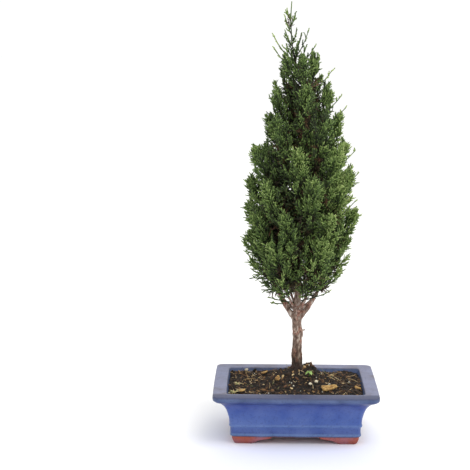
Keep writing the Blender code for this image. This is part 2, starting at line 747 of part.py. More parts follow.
build_pot(material("blue_glaze", (0.058, 0.118, 0.392), 0.35))
SCREEN_PLASTIC = material("screen_plastic", (0.02, 0.02, 0.02), 0.6)
CLIP_WIRE = material("clip_wire", (0.62, 0.62, 0.60), 0.4, 1.0)
for drain, drain_x in drain_places():
    build_screen(drain, drain_x, SCREEN_PLASTIC)
    build_clip(drain, drain_x, CLIP_WIRE)
build_soil(material("soil_mix", (0.040, 0.026, 0.018), 0.95))
BARK_FLAKE = material("bark_flake", (0.42, 0.25, 0.11), 0.8)
for chip_row in BARK_CHIPS:
    build_chip(*chip_row, BARK_FLAKE)
PERLITE = material("perlite", (0.72, 0.70, 0.64), 0.9)
for grain_row in PERLITE_GRAINS:
    build_grain(*grain_row, PERLITE)
build_seedling(material("seedling_leaf", (0.10, 0.26, 0.05), 0.6))
SPRAYS = lay_out_sprays()
build_trunk(material("bark", (0.20, 0.13, 0.10), 0.85))
FOLIAGE = material("foliage", (0.05, 0.13, 0.025), 0.6)
for each_spray in SPRAYS:
    build_spray(each_spray, FOLIAGE)
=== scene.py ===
import math

import bpy
import numpy as np
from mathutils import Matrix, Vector


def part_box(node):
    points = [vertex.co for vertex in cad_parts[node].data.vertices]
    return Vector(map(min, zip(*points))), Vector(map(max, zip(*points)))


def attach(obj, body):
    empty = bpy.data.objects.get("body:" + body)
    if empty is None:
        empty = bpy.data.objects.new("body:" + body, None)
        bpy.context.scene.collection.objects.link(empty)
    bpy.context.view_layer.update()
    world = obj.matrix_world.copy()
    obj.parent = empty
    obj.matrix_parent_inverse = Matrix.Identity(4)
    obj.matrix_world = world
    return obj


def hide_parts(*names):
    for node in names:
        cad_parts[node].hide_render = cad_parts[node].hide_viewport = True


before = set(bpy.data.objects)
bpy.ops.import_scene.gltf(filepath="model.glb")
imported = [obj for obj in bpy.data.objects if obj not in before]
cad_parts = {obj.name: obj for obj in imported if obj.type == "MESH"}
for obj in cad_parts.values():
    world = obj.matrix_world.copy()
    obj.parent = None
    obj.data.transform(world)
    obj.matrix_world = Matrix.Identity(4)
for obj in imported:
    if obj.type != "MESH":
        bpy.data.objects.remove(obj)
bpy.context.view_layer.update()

# ---- the pot
# Stoneware, pressed in a mould: a wide flat rim over a coved wall, two mouldings near the base and
# four bracket feet. Cobalt glaze covers all but the feet, thin and grey where it ran off the rim.

pot_low, pot_high = (np.array(corner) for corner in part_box("pot"))
POT_HALF = (pot_high - pot_low)[:2] / 2
POT_HEIGHT = pot_high[2]
CORNER_RADIUS = 0.008
SIDE_BOW = 0.0006  # how far each side swells between its corners
CORNER_STEPS = 9
SIDE_STEPS = 26
CORNER_SIGNS = np.array([(1, 1), (-1, 1), (-1, -1), (1, -1)])
FOOT_HEIGHT = 0.0092
FOOT_INSET = 0.0223
FOOT_WIDTH = 0.015
FOOT_TAPER = 0.0028
FOOT_LENGTHS = (0.0285, 0.021)  # along a long and a short side, from the foot's corner
APRON_LENGTHS = (0.019, 0.012)
FOOT_STEP = 0.0038
FOOT_STEP_ROUND = 0.0018
APRON_END = 0.0076
DRAIN_RADIUS = 0.01
DRAIN_SPACING = 0.1

# Corners of the wall's section, in millimetres: inset from the rim's outer edge, height, rounding.
WALL_SECTION = np.array([
    (56, 9.2, 0), (22.2, 9.2, 0.6), (20.3, 11.2, 0.7), (20.3, 13, 0.6), (20.9, 14.2, 0.6),
    (20.8, 20.2, 1), (20, 22.2, 0.6), (19.1, 23.2, 0.6), (19, 24.5, 0.6), (19.6, 25.6, 0.7),
    (19.4, 30, 2.4), (18.7, 34.5, 2.8), (16.4, 43, 4), (13.5, 48.8, 2.8), (9.8, 52.8, 1.8),
    (7.2, 54.9, 1.2), (2.8, 56.9, 1.6), (0, 59.6, 1.8), (0, 64.8, 1.3), (16.2, 64.8, 1.2),
    (17, 62.3, 1), (18.6, 57.8, 2), (20.5, 52.8, 2), (22.1, 47.8, 2), (23.5, 40.8, 3),
    (24.2, 32.3, 4), (25, 15.6, 4), (60, 15.6, 0),
]) / 1000


def rough(points, size, seed):
    """Smooth random height from -1 to 1: a lattice of random values, eased from one to the next."""
    lattice = np.random.default_rng(seed).uniform(-1, 1, (32, 32, 32))
    place = np.asarray(points) / size
    cell = np.floor(place).astype(int)
    ease = place - cell
    ease = ease * ease * (3 - 2 * ease)
    value = np.zeros(place.shape[:-1])
    for corner in np.ndindex(2, 2, 2):
        weight = np.prod(np.where(corner, ease, 1 - ease), axis=-1)
        x, y, z = np.moveaxis((cell + corner) % 32, -1, 0)
        value += weight * lattice[x, y, z]
    return value


def rounded_path(corners, rounds, count):
    """Straight runs whose corners are quadratic curves, each from a point before it to one after."""
    def towards(step):
        way = np.roll(corners, step, axis=0) - corners
        size = np.linalg.norm(way, axis=1, keepdims=True)
        return (corners + way / size * np.minimum(rounds[:, None], 0.45 * size))[:, None]

    share = np.linspace(0, 1, count)[None, :, None]
    curve = (1 - share) ** 2 * towards(1) + 2 * share * (1 - share) * corners[:, None]
    curve = curve + share**2 * towards(-1)
    curve[rounds <= 0] = corners[rounds <= 0][:, None]
    rows = curve.reshape(-1, 2)
    return rows[np.r_[True, np.linalg.norm(np.diff(rows, axis=0), axis=1) > 1e-6]]


def spoke(angle):
    """Points on a circle of radius 1, at angles."""
    return np.stack((np.cos(angle), np.sin(angle)), -1)


def raised(plan, z):
    """Points over places on the plan, at heights."""
    return np.concatenate((plan, z[..., None]), -1)


def pot_outline(inset, quarter, turn, run):
    """Points round the pot at an inset. Each quarter is a corner arc, passed as turn goes from 0 to
    1, and then a bowed side, passed as run does."""
    half = POT_HALF - SIDE_BOW - inset[..., None]
    radius = np.maximum(CORNER_RADIUS - 0.15 * inset, 0.002)[..., None]

    def corner_point(which, angle):
        middle = (half - radius) * CORNER_SIGNS[which % 4]
        return middle + radius * spoke(angle)

    side = (quarter + 1) * np.pi / 2
    start = corner_point(quarter, (quarter + turn) * np.pi / 2)
    bow = SIDE_BOW * 4 * run * (1 - run)
    return start + (corner_point(quarter + 1, side) - start) * run[..., None] + bow[..., None] * spoke(side)


def outline_columns(corner_steps, side_steps):
    """Quarter, turn and run for points all the way round the pot."""
    turn = np.r_[np.linspace(0, 1, corner_steps), np.ones(side_steps)]
    run = np.r_[np.zeros(corner_steps), np.linspace(0, 1, side_steps + 2)[1:-1]]
    quarter = np.repeat(np.arange(4), corner_steps + side_steps)
    return quarter, np.tile(turn, 4), np.tile(run, 4)


def tube_faces(rings, sides):
    """Faces of one closed tube: four-cornered ones along it and a many-cornered one at each end."""
    ring, side = np.meshgrid(np.arange(rings - 1), np.arange(sides), indexing="ij")
    here, following = ring * sides + side, ring * sides + (side + 1) % sides
    walls = np.stack((here, following, following + sides, here + sides), -1).reshape(-1, 4)
    ends = np.stack((np.arange(sides)[::-1], np.arange(sides) + (rings - 1) * sides))
    return walls, ends


def repeated(faces, count, points_each):
    """The same faces for each of many like shapes, whose points follow one another."""
    return (faces[None] + points_each * np.arange(count)[:, None, None]).reshape(-1, faces.shape[1])


def add_piece(name, points, face_sets, finish, palette=None):
    """Puts arrays of points and faces into a mesh. A palette gives each point its place in UV."""
    mesh = bpy.data.meshes.new(name)
    points = np.asarray(points, np.float32).reshape(-1, 3)
    corners = np.concatenate([faces.ravel() for faces in face_sets]).astype(np.int32)
    sizes = np.concatenate([np.full(len(faces), faces.shape[1]) for faces in face_sets])
    mesh.vertices.add(len(points))
    mesh.vertices.foreach_set("co", points.ravel())
    mesh.loops.add(len(corners))
    mesh.loops.foreach_set("vertex_index", corners)
    mesh.polygons.add(len(sizes))
    mesh.polygons.foreach_set("loop_start", (np.cumsum(sizes) - sizes).astype(np.int32))
    mesh.polygons.foreach_set("use_smooth", np.ones(len(sizes), bool))
    if palette is not None:
        layer = mesh.uv_layers.new(name="OFBake")
        layer.data.foreach_set("uv", palette[corners].astype(np.float32).ravel())
    mesh.update(calc_edges=True)
    mesh.materials.append(finish)
    piece = bpy.data.objects.new(name, mesh)
    bpy.context.scene.collection.objects.link(piece)
    return piece


def settle(piece):
    """Makes what the piece's modifiers give its own mesh, and drops them."""
    evaluated = piece.evaluated_get(bpy.context.evaluated_depsgraph_get())
    mesh = bpy.data.meshes.new_from_object(evaluated)
    piece.modifiers.clear()
    piece.data = mesh


def combine(piece, others, operation):
    """Joins or cuts the piece with the others and removes them."""
    for other in others:
        change = piece.modifiers.new(other.name, "BOOLEAN")
        change.operation = operation
        change.object = other
    settle(piece)
    for other in others:
        bpy.data.objects.remove(other)


def new_material(name, roughness):
    """A material, its node tree and its shader."""
    made = bpy.data.materials.new(name)
    made.use_nodes = True
    shader = made.node_tree.nodes["Principled BSDF"]
    shader.inputs["Roughness"].default_value = roughness
    return made, made.node_tree, shader


def add_node(tree, kind, inputs=(), **settings):
    """A node with its settings, and its inputs joined to sockets or set to values."""
    node = tree.nodes.new(kind)
    for key, value in settings.items():
        setattr(node, key, value)
    for key, value in dict(inputs).items():
        if isinstance(value, bpy.types.NodeSocket):
            tree.links.new(value, node.inputs[key])
        else:
            node.inputs[key].default_value = value
    return node


def srgb(*levels):
    """A colour as screens give it, from 0 to 255, as the light values that a shader takes."""
    shares = np.array(levels) / 255
    return np.where(shares <= 0.04045, shares / 12.92, ((shares + 0.055) / 1.055) ** 2.4)


def opaque(colour):
    """A colour or a grey level, with its alpha."""
    return (*np.broadcast_to(colour, 3), 1)


def tones(rows):
    """Stops of a ramp, from rows of a place and a colour's three levels."""
    return [(place, srgb(*levels)) for place, *levels in rows]


def colour_ramp(tree, factor, stops):
    """Colours or grey levels at places from 0 to 1."""
    node = add_node(tree, "ShaderNodeValToRGB", {"Fac": factor})
    elements = node.color_ramp.elements
    while len(elements) < len(stops):
        elements.new(0.5)
    for element, (place, colour) in zip(elements, stops):
        element.position = place
        element.color = opaque(colour)
    return node.outputs["Color"]


def mixed(tree, factor, first, second, blend="MIX"):
    """Two sockets or colours, mixed."""
    inputs = {"Factor": factor}
    for key, colour in ((6, first), (7, second)):
        inputs[key] = colour if isinstance(colour, bpy.types.NodeSocket) else opaque(colour)
    return add_node(tree, "ShaderNodeMix", inputs, data_type="RGBA", blend_type=blend).outputs[2]


def worked_out(tree, operation, *values, **settings):
    """A sum over sockets or numbers."""
    return add_node(tree, "ShaderNodeMath", enumerate(values), operation=operation, **settings).outputs[0]


def ranged(tree, value, low, high, ease="LINEAR"):
    """How far a value is from low to high, from 0 to 1."""
    inputs = {"Value": value, "From Min": low, "From Max": high}
    return add_node(tree, "ShaderNodeMapRange", inputs, interpolation_type=ease).outputs["Result"]


def painted(tree, shader, colour):
    """Joins a colour to the shader."""
    tree.links.new(colour, shader.inputs["Base Color"])


def object_place(tree, scale=(1, 1, 1)):
    """Places on the object, in metres, scaled along each axis."""
    place = add_node(tree, "ShaderNodeTexCoord").outputs["Object"]
    return add_node(tree, "ShaderNodeMapping", {"Vector": place, "Scale": scale}).outputs["Vector"]


def make_mottle():
    """A node group: blotches over a place, as a value from 0 to 1, and a fine grain."""
    group = bpy.data.node_groups.new("mottle", "ShaderNodeTree")
    group.interface.new_socket("Vector", in_out="INPUT", socket_type="NodeSocketVector")
    for name, way in (("Size", "INPUT"), ("Contrast", "INPUT"), ("Blotch", "OUTPUT"), ("Grain", "OUTPUT")):
        group.interface.new_socket(name, in_out=way, socket_type="NodeSocketFloat")
    given = add_node(group, "NodeGroupInput").outputs
    scale = worked_out(group, "DIVIDE", 1.0, given["Size"])
    inputs = {"Vector": given["Vector"], "Scale": scale, "Detail": 3.0}
    noise = add_node(group, "ShaderNodeTexNoise", inputs).outputs["Fac"]
    inputs = {"Vector": given["Vector"], "Scale": worked_out(group, "MULTIPLY", scale, 9.0), "Detail": 1.0}
    grain = add_node(group, "ShaderNodeTexNoise", inputs).outputs["Fac"]
    offset = worked_out(group, "ADD", noise, -0.5)
    spread = worked_out(group, "MULTIPLY_ADD", offset, given["Contrast"], 0.5, use_clamp=True)
    add_node(group, "NodeGroupOutput", {"Blotch": spread, "Grain": grain})
    return group


MOTTLE = make_mottle()


def mottle(tree, place, size, contrast=2.0):
    """The blotches and the grain over a place."""
    inputs = {"Vector": place, "Size": size, "Contrast": contrast}
    return add_node(tree, "ShaderNodeGroup", inputs, node_tree=MOTTLE).outputs


def bumped(tree, shader, height, strength, distance):
    """Joins a height to the shader as bumps."""
    bump = add_node(tree, "ShaderNodeBump", {"Height": height, "Strength": strength, "Distance": distance})
    tree.links.new(bump.outputs["Normal"], shader.inputs["Normal"])


def glaze_material():
    """Colours by height, blurred by blotches: bare clay, then glaze that is paler on each edge, with painted
    shade in the cove under the lip and on the front of the rim.
    """
    made, tree, shader = new_material("blue_glaze", 0.34)
    place = object_place(tree)
    blotch, grain = mottle(tree, place, 0.018, 2.4)
    speck, _ = mottle(tree, place, 0.0022, 5.0)
    _, y, z = add_node(tree, "ShaderNodeSeparateXYZ", {"Vector": place}).outputs
    waved = worked_out(tree, "MULTIPLY_ADD", worked_out(tree, "ADD", blotch, -0.5), 0.0007, z)
    top = 68  # in millimetres, as the heights of the bands are
    height = ranged(tree, waved, 0.0, top / 1000)
    # From 49 mm up to 57.8 mm the bands darken, darkest at 55.6 mm: painted shade in the cove under the lip.
    bands = (
        (0, 138, 62, 36), (8.6, 164, 76, 44), (9.8, 108, 68, 58), (10.5, 38, 52, 98),
        (11.3, 68, 95, 140), (13, 72, 99, 146), (14.5, 41, 66, 130), (20, 45, 71, 138),
        (22.2, 62, 90, 150), (24, 74, 102, 158), (26.2, 50, 80, 150), (40, 42, 72, 146),
        (49, 34, 60, 136), (53.8, 29, 47, 118), (55.6, 20, 31, 88), (57.8, 36, 55, 112),
        (60.2, 51, 69, 108), (63.4, 55, 69, 104), (64.3, 96, 90, 98), (64.7, 110, 110, 132),
        (65, 118, 117, 138),
    )
    body = colour_ramp(tree, height, tones((level / top, *levels) for level, *levels in bands))
    pale = mixed(tree, 0.26, body, srgb(120, 142, 190))
    streaked = mixed(tree, blotch, body, pale)
    # The front of the rim is darkened towards srgb(48, 56, 90) as painted shade.
    front = ranged(tree, y, -0.056, -0.064, "SMOOTHSTEP")
    rim = colour_ramp(tree, height, ((62 / top, 0), (64.5 / top, 0.9)))
    painted_rim_shade = worked_out(tree, "MULTIPLY", front, rim)
    streaked = mixed(tree, painted_rim_shade, streaked, srgb(48, 56, 90))
    pits = colour_ramp(tree, speck, ((0, 0.5), (0.08, 0)))
    dark = mixed(tree, 1.0, streaked, (0.55, 0.55, 0.62), "MULTIPLY")
    painted(tree, shader, mixed(tree, pits, streaked, dark))
    dull = ((9.8 / top, 0.88), (10.6 / top, 0.32), (57 / top, 0.32), (64.4 / top, 0.5))
    tree.links.new(colour_ramp(tree, height, dull), shader.inputs["Roughness"])
    bumped(tree, shader, grain, 0.12, 0.0006)
    return made


def build_wall(finish):
    """The wall's rounded section carried round the pot, with the slight swell of pressed clay."""
    section = rounded_path(WALL_SECTION[:, :2], WALL_SECTION[:, 2], 5)
    quarter, turn, run = outline_columns(CORNER_STEPS, SIDE_STEPS)
    plan = pot_outline(section[:, :1], quarter, turn, run)
    z = np.broadcast_to(section[:, 1:], plan.shape[:2])
    points = raised(plan, z)
    swell = 0.00022 * rough(points, 0.028, 5) + 0.00006 * rough(points, 0.007, 6)
    flat = (z < 0.0093) | (z > 0.0647)
    points[..., :2] *= 1 - np.where(flat, 0, 1)[..., None] * np.abs(swell)[..., None] / 0.1
    return add_piece("pot", points, tube_faces(*points.shape[:2]), finish)


def foot_underside(away, foot, apron):
    """Height of a foot's underside at a distance from its corner: flat, a rounded end, an apron."""
    past = np.clip((away - foot + FOOT_STEP_ROUND) / FOOT_STEP_ROUND, 0, 1)
    step = FOOT_STEP - FOOT_STEP_ROUND * np.sqrt(1 - past**2) * (past > 0)
    step = np.where(past > 0, step, 0)
    slope = FOOT_STEP + (APRON_END - FOOT_STEP) * np.clip((away - foot) / apron, 0, 1)
    return np.where(away > foot, slope, step)


def build_foot(corner):
    """One bracket foot: a tapered section carried along one side, round the corner and along the
    next, its underside rising to the thin apron at both ends."""
    sides = 2 * (POT_HALF - FOOT_INSET - CORNER_RADIUS / 2)
    arms = []
    for kind in ((corner + 1) % 2, corner % 2):
        foot, apron = FOOT_LENGTHS[kind], APRON_LENGTHS[kind]
        near = np.linspace(0.004, foot - FOOT_STEP_ROUND, 5)
        end = foot - FOOT_STEP_ROUND * np.cos(np.linspace(0.1, 1, 6) * np.pi / 2)
        far = foot + apron * np.linspace(0, 1, 7)[1:]
        away = np.r_[near, end, far]
        arms.append(((away - 0.004) / sides[kind], foot_underside(away, foot, apron)))
    (before, low_before), (after, low_after) = arms
    arc = np.linspace(0, 1, CORNER_STEPS)[1:-1]
    quarter = np.r_[np.full(len(before), corner - 1), np.full(len(arc) + len(after), corner)]
    turn = np.r_[np.ones(len(before)), arc, np.ones(len(after))]
    run = np.r_[1 - before[::-1], np.zeros(len(arc)), after]
    low = np.r_[low_before[::-1], np.zeros(len(arc)), low_after][:, None]
    under = np.array([0, 0, 0.0005, 0, 0, 0])
    levels = np.array([FOOT_HEIGHT + 0.001, 0.0055, 0.0008, 0.0, 0.0, FOOT_HEIGHT + 0.001])
    z = np.maximum(levels, low + under)
    lean = FOOT_TAPER * np.clip(1 - z / FOOT_HEIGHT, 0, 1) ** 1.6
    depth = np.array([0, 0, 0, 0.0005, FOOT_WIDTH, FOOT_WIDTH])
    inset = FOOT_INSET + lean * np.array([0, 1, 1, 1, 0, 0]) + depth
    plan = pot_outline(inset, quarter[:, None], turn[:, None], run[:, None])
    points = raised(plan, z)
    points[..., :2] *= 1 - 0.0002 * np.abs(rough(points, 0.009, 8))[..., None] / 0.1
    return add_piece(f"foot_{corner}", points, tube_faces(*points.shape[:2]), GLAZE)


def drain_cutter(x):
    """A round plug through the pot's floor, as two rings."""
    angle = np.linspace(0, 2 * np.pi, 33)[:-1]
    ring = (x, 0) + DRAIN_RADIUS * spoke(angle)
    points = np.stack([raised(ring, np.full(32, z)) for z in (0.004, 0.022)])
    return add_piece("drain_hole", points, tube_faces(2, 32), GLAZE)


def shade_by_angle(piece, degrees):
    """Smooth shading, but for edges sharper than the angle."""
    piece.data.shade_smooth()
    piece.data.set_sharp_from_angle(angle=math.radians(degrees))


GLAZE = glaze_material()
pot = build_wall(GLAZE)
combine(pot, [build_foot(corner) for corner in range(4)], "UNION")
combine(pot, [drain_cutter(side * DRAIN_SPACING / 2) for side in (-1, 1)], "DIFFERENCE")
shade_by_angle(pot, 40)
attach(pot, "root")
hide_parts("pot")

# ---- drainage screens and clips
# Squares of black plastic netting over the two holes, each held down by a bent staple of soft wire.
# Both are made to size in the frame, so they only take their finishes.


def dull_material(name, dark, light, size, roughness, metallic=0.0):
    """A plain finish, mottled between two colours."""
    made, tree, shader = new_material(name, roughness)
    shader.inputs["Metallic"].default_value = metallic
    blotch, grain = mottle(tree, object_place(tree), size)
    painted(tree, shader, colour_ramp(tree, blotch, tones(((0, *dark), (1, *light)))))
    bumped(tree, shader, grain, 0.15, 0.0002)
    return made


NETTING = dull_material("screen_plastic", (16, 16, 17), (38, 38, 40), 0.004, 0.55)
WIRE = dull_material("clip_wire", (150, 150, 148), (188, 188, 186), 0.003, 0.42, 1.0)
for kind, finish in (("drain_screen", NETTING), ("screen_clip", WIRE)):
    for side in ("left", "right"):
        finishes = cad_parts[f"{kind}_{side}"].data.materials
        finishes.clear()
        finishes.append(finish)

# ---- soil
# Bark and compost mix, heaped to the foot of the tree and lumpy from watering. It fills the pot to
# a little below its rim and carries the crumbs, flakes and straws that lie loose on it.

SOIL_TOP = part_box("soil")[1][2]
SOIL_EDGE = POT_HEIGHT - 0.0048
SOIL_RISE = SOIL_TOP - SOIL_EDGE
TREE_FOOT = np.array([0.0022, 0.006])
SOIL_SLOPE = ((0.0, 0.16, 0.42, 0.7, 1.0), (0.97, 0.95, 0.46, 0.14, 0.0))
ROOT_HUMP = np.array([0.019, 0.007])
SOIL_WALL = np.array([  # inset and height up the inside of the pot, in millimetres, to its soil line
    (30, 16), (26.2, 20), (25.2, 30.5), (24.6, 40), (23.2, 47.5), (21.6, 52.5), (19.6, 57.5),
    (18.4, 60),
]) / 1000


def heap(plan):
    """Height of the soil: its slope by the share of the way from wall to tree, a hump of roots on
    the tree's right, and three sizes of lumps."""
    edge = POT_HALF - 0.0175
    room = np.where(plan > TREE_FOOT, edge - TREE_FOOT, edge + TREE_FOOT)
    share = (np.abs((plan - TREE_FOOT) / room) ** 3).sum(-1) ** (1 / 3)
    z = SOIL_EDGE + SOIL_RISE * np.interp(share, *SOIL_SLOPE)
    z += 0.0085 * np.exp(-(((plan - ROOT_HUMP) / (0.01, 0.008)) ** 2).sum(-1))
    flat = raised(plan, 0 * z)
    for size, height, seed in ((0.013, 0.0013, 21), (0.0052, 0.001, 22), (0.0021, 0.0005, 23)):
        z += height * rough(flat, size, seed)
    return z


def soil_material():
    """Near-black compost with brown and straw-coloured bits in two sizes."""
    made, tree, shader = new_material("soil_mix", 0.93)
    place = object_place(tree)
    coarse, _ = mottle(tree, place, 0.004, 3.6)
    fine, _ = mottle(tree, place, 0.0014, 3.2)
    both = worked_out(tree, "MULTIPLY", coarse, fine)
    rows = ((0, 12, 9, 6), (0.45, 34, 25, 18), (0.75, 66, 48, 34), (1, 108, 82, 56))
    painted(tree, shader, colour_ramp(tree, both, tones(rows)))
    bumped(tree, shader, fine, 0.8, 0.0012)
    return made


def build_soil(finish):
    """Rings up the inside of the wall and then in over the heap to the tree."""
    quarter, turn, run = outline_columns(9, 56)
    insets, levels = SOIL_WALL.T
    wall = pot_outline(insets[:, None], quarter, turn, run)
    share = np.linspace(1, 0, 74)[1:-1, None, None]
    top = TREE_FOOT + (wall[-1] - TREE_FOOT) * share
    heights = np.r_[np.repeat(levels[:-1, None], wall.shape[1], 1), heap(wall[-1:]), heap(top)]
    points = raised(np.r_[wall, top], heights)
    return add_piece("soil", points, tube_faces(*points.shape[:2]), finish)


soil = build_soil(soil_material())
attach(soil, "root")
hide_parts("soil")

# ---- loose litter on the soil
# Crumbs of compost, flakes of bark, white grains of perlite, straws and dry needles, as they fell.
# Each kind is one piece, whose bits take their colours from a palette by the two numbers in UV.

litter_dice = np.random.default_rng(31)
TURN = 6.28  # the most that a bit or a shoot is turned by chance
LIFT = 0.0006  # how far the middle of a bit lies over the soil


def palette_material(name, roughness, first, second):
    """Colour from two ramps over one number in UV, mixed by the other number."""
    made, tree, shader = new_material(name, roughness)
    place = add_node(tree, "ShaderNodeUVMap", uv_map="OFBake").outputs["UV"]
    parts = add_node(tree, "ShaderNodeSeparateXYZ", {"Vector": place}).outputs
    ramps = [colour_ramp(tree, parts["Y"], tones(rows)) for rows in (first, second)]
    painted(tree, shader, mixed(tree, parts["X"], *ramps))
    return made


def unit(vectors):
    return vectors / np.maximum(np.linalg.norm(vectors, axis=-1, keepdims=True), 1e-12)


def ball():
    """A ball of 32 triangles: an octahedron, each of whose edges is halved."""
    tips = np.array([(1, 0, 0), (0, 1, 0), (-1, 0, 0), (0, -1, 0), (0, 0, 1), (0, 0, -1)], float)
    faces = [(0, 1, 4), (1, 2, 4), (2, 3, 4), (3, 0, 4), (1, 0, 5), (2, 1, 5), (3, 2, 5), (0, 3, 5)]
    points, halves, small = list(tips), {}, []
    for a, b, c in faces:
        middles = []
        for pair in ((a, b), (b, c), (c, a)):
            key = tuple(sorted(pair))
            if key not in halves:
                halves[key] = len(points)
                points.append(unit(tips[pair[0]] + tips[pair[1]]))
            middles.append(halves[key])
        ab, bc, ca = middles
        small += [(a, ab, ca), (ab, b, bc), (ca, bc, c), (ab, bc, ca)]
    return np.array(points), np.array(small)


def frames_on(normal, turn):
    """Three axes for each bit: along, across and up, turned about the up axis."""
    along = unit(np.cross(normal, (0.31, 0.94, 0.13)))
    across = np.cross(normal, along)
    cosine, sine = np.cos(turn)[:, None], np.sin(turn)[:, None]
    return np.stack((along * cosine + across * sine, across * cosine - along * sine, normal), 1)


def heap_normal(plan):
    """The way out of the heap, from its slopes to the right and to the back."""
    step = 0.0015
    east = heap(plan + (step, 0)) - heap(plan - (step, 0))
    north = heap(plan + (0, step)) - heap(plan - (0, step))
    return unit(np.stack((-east, -north, np.full(len(plan), 2 * step)), -1))


def strewn(count, spread=1.0):
    """Places on the heap, with its normals, clear of the wall and the tree."""
    plan = litter_dice.uniform(-1, 1, (count * 2, 2)) * (POT_HALF - 0.0195) * spread
    plan = plan[np.linalg.norm(plan - TREE_FOOT, axis=1) > 0.0085][:count]
    return np.c_[plan, heap(plan)], unit(heap_normal(plan) + litter_dice.normal(0, 0.28, (count, 3)))


LITTER = palette_material("litter", 0.9, (
    (0, 18, 13, 9), (0.25, 38, 28, 20), (0.42, 70, 48, 32), (0.58, 118, 88, 54), (0.74, 176, 148, 100),
    (0.86, 96, 112, 62), (1, 235, 232, 222),
), (
    (0, 28, 22, 16), (0.25, 58, 42, 30), (0.42, 100, 68, 46), (0.58, 160, 124, 78),
    (0.74, 222, 200, 158), (0.86, 134, 150, 92), (1, 212, 206, 190),
))


def bits(name, shape, faces, sizes, places, normals, kind, lump):
    """Many copies of a shape, each with its own size, turn, tone and lumps. Its kind sets its colour."""
    count = len(places)
    axes = np.broadcast_to(np.eye(3), (count, 3, 3))
    if normals is not None:
        axes = frames_on(normals, litter_dice.uniform(0, TURN, count))
    shade = np.c_[litter_dice.random(count), np.broadcast_to(kind, count)][:, None] + 0.03 * shape[:, :2]
    local = shape * (1 + lump * litter_dice.uniform(-1, 1, (count, len(shape), 1))) * sizes[:, None]
    points = places[:, None] + np.einsum("npa,nab->npb", local, axes)
    face_sets = [repeated(each, count, len(shape)) for each in faces]
    piece = add_piece(name, points, face_sets, LITTER, shade.clip(0.01, 0.99).reshape(-1, 2))
    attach(piece, "root")


BALL, BALL_FACES = ball()
count = 1900
places, normals = strewn(count)
sizes = 0.0007 + 0.0016 * litter_dice.random((count, 1)) ** 2.2
sizes = litter_dice.uniform(0.6, 1.25, (count, 3)) * sizes
kinds = litter_dice.choice([0.04, 0.12, 0.25, 0.34, 0.46], count, p=[0.36, 0.28, 0.2, 0.1, 0.06])
bits("soil_crumbs", BALL, [BALL_FACES], sizes, places, normals, kinds, 0.22)

FLAKE_SIDES = 7
angle = np.linspace(0, 2 * np.pi, FLAKE_SIDES + 1)[:-1]
ring = raised(spoke(angle), 0 * angle)
FLAKE = np.concatenate([ring * (reach, reach, 1) + (0, 0, z) for reach, z in ((0.9, -1), (1, 0), (0.85, 1))])
count = 460
places, normals = strewn(count)
length = 0.0009 + 0.0026 * litter_dice.random((count, 1)) ** 1.8
breadth = length * litter_dice.uniform(0.3, 0.75, (count, 1))
sizes = np.hstack((length, breadth, litter_dice.uniform(0.0002, 0.0005, (count, 1))))
kinds = litter_dice.choice([0.25, 0.42, 0.58, 0.74], count, p=[0.38, 0.32, 0.19, 0.11])
faces = tube_faces(3, FLAKE_SIDES)
bits("bark_flakes", FLAKE, faces, sizes, places + normals * LIFT, normals, kinds, 0.14)

count = 22
places, normals = strewn(count)
sizes = 0.0005 + 0.001 * litter_dice.random((count, 1)) ** 1.5
sizes = sizes * litter_dice.uniform(0.7, 1.2, (count, 3))
bits("perlite_grains", BALL, [BALL_FACES], sizes, places + normals * LIFT, normals, 0.97, 0.2)


def centre_lines(start, way, length, bend, stations):
    """start + length * (s * way + s * s * bend), with s from 0 to 1 along each shoot."""
    share = np.linspace(0, 1, stations)[None, :, None]
    return start[:, None] + length[:, None, None] * (share * way[:, None] + share**2 * bend[:, None])


def round_shoots(lines, radii, sides):
    """Closed tubes along centre lines, as points and faces."""
    count, stations = lines.shape[:2]
    along = unit(np.gradient(lines, axis=1))
    across = unit(np.cross(along, (0.13, 0.31, 0.94)))
    other = np.cross(along, across)
    angle = 2 * np.pi * np.arange(sides) / sides
    ring = across[:, :, None] * np.cos(angle)[:, None] + other[:, :, None] * np.sin(angle)[:, None]
    points = lines[:, :, None] + radii[:, :, None, None] * ring
    faces = [repeated(each, count, stations * sides) for each in tube_faces(stations, sides)]
    return points.reshape(-1, 3), faces


def shoot_palette(tone, ripeness, sides):
    """Palette numbers for the points of shoots: the tone of each, and its ripeness along it."""
    count, stations = ripeness.shape
    side = np.arange(sides)
    u = tone[:, None, None] + 0.024 * side / sides
    v = ripeness[:, :, None] + 0.008 * (side % 2)
    both = np.stack(np.broadcast_arrays(u, v), -1)
    return np.clip(both, 0.005, 0.995).reshape(-1, 2)


def litter_shoots(name, lines, radii, sides, tone, kind):
    """Round shoots, each with a tone and a kind of colour."""
    points, faces = round_shoots(lines, radii, sides)
    palette = shoot_palette(tone, np.repeat(kind[:, None], lines.shape[1], 1), sides)
    piece = add_piece(name, points, faces, LITTER, palette)
    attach(piece, "root")


count = 300
places, normals = strewn(count)
lie = unit(np.cross(normals, litter_dice.normal(0, 1, (count, 3))) + 0.12 * normals)
sag = 0.35 * litter_dice.normal(0, 1, (count, 3)) - 0.05 * normals
length = 0.003 + 0.0085 * litter_dice.random(count) ** 1.6
lines = centre_lines(places + normals * 0.0009, lie, length, sag, 5)
radii = litter_dice.uniform(0.00014, 0.00034, (count, 1)) * np.array([0.8, 1, 1, 0.9, 0.5])
kinds = litter_dice.choice([0.42, 0.58, 0.72, 0.84], count, p=[0.3, 0.3, 0.3, 0.1])
litter_shoots("straws", lines, radii, 4, litter_dice.random(count), kinds)

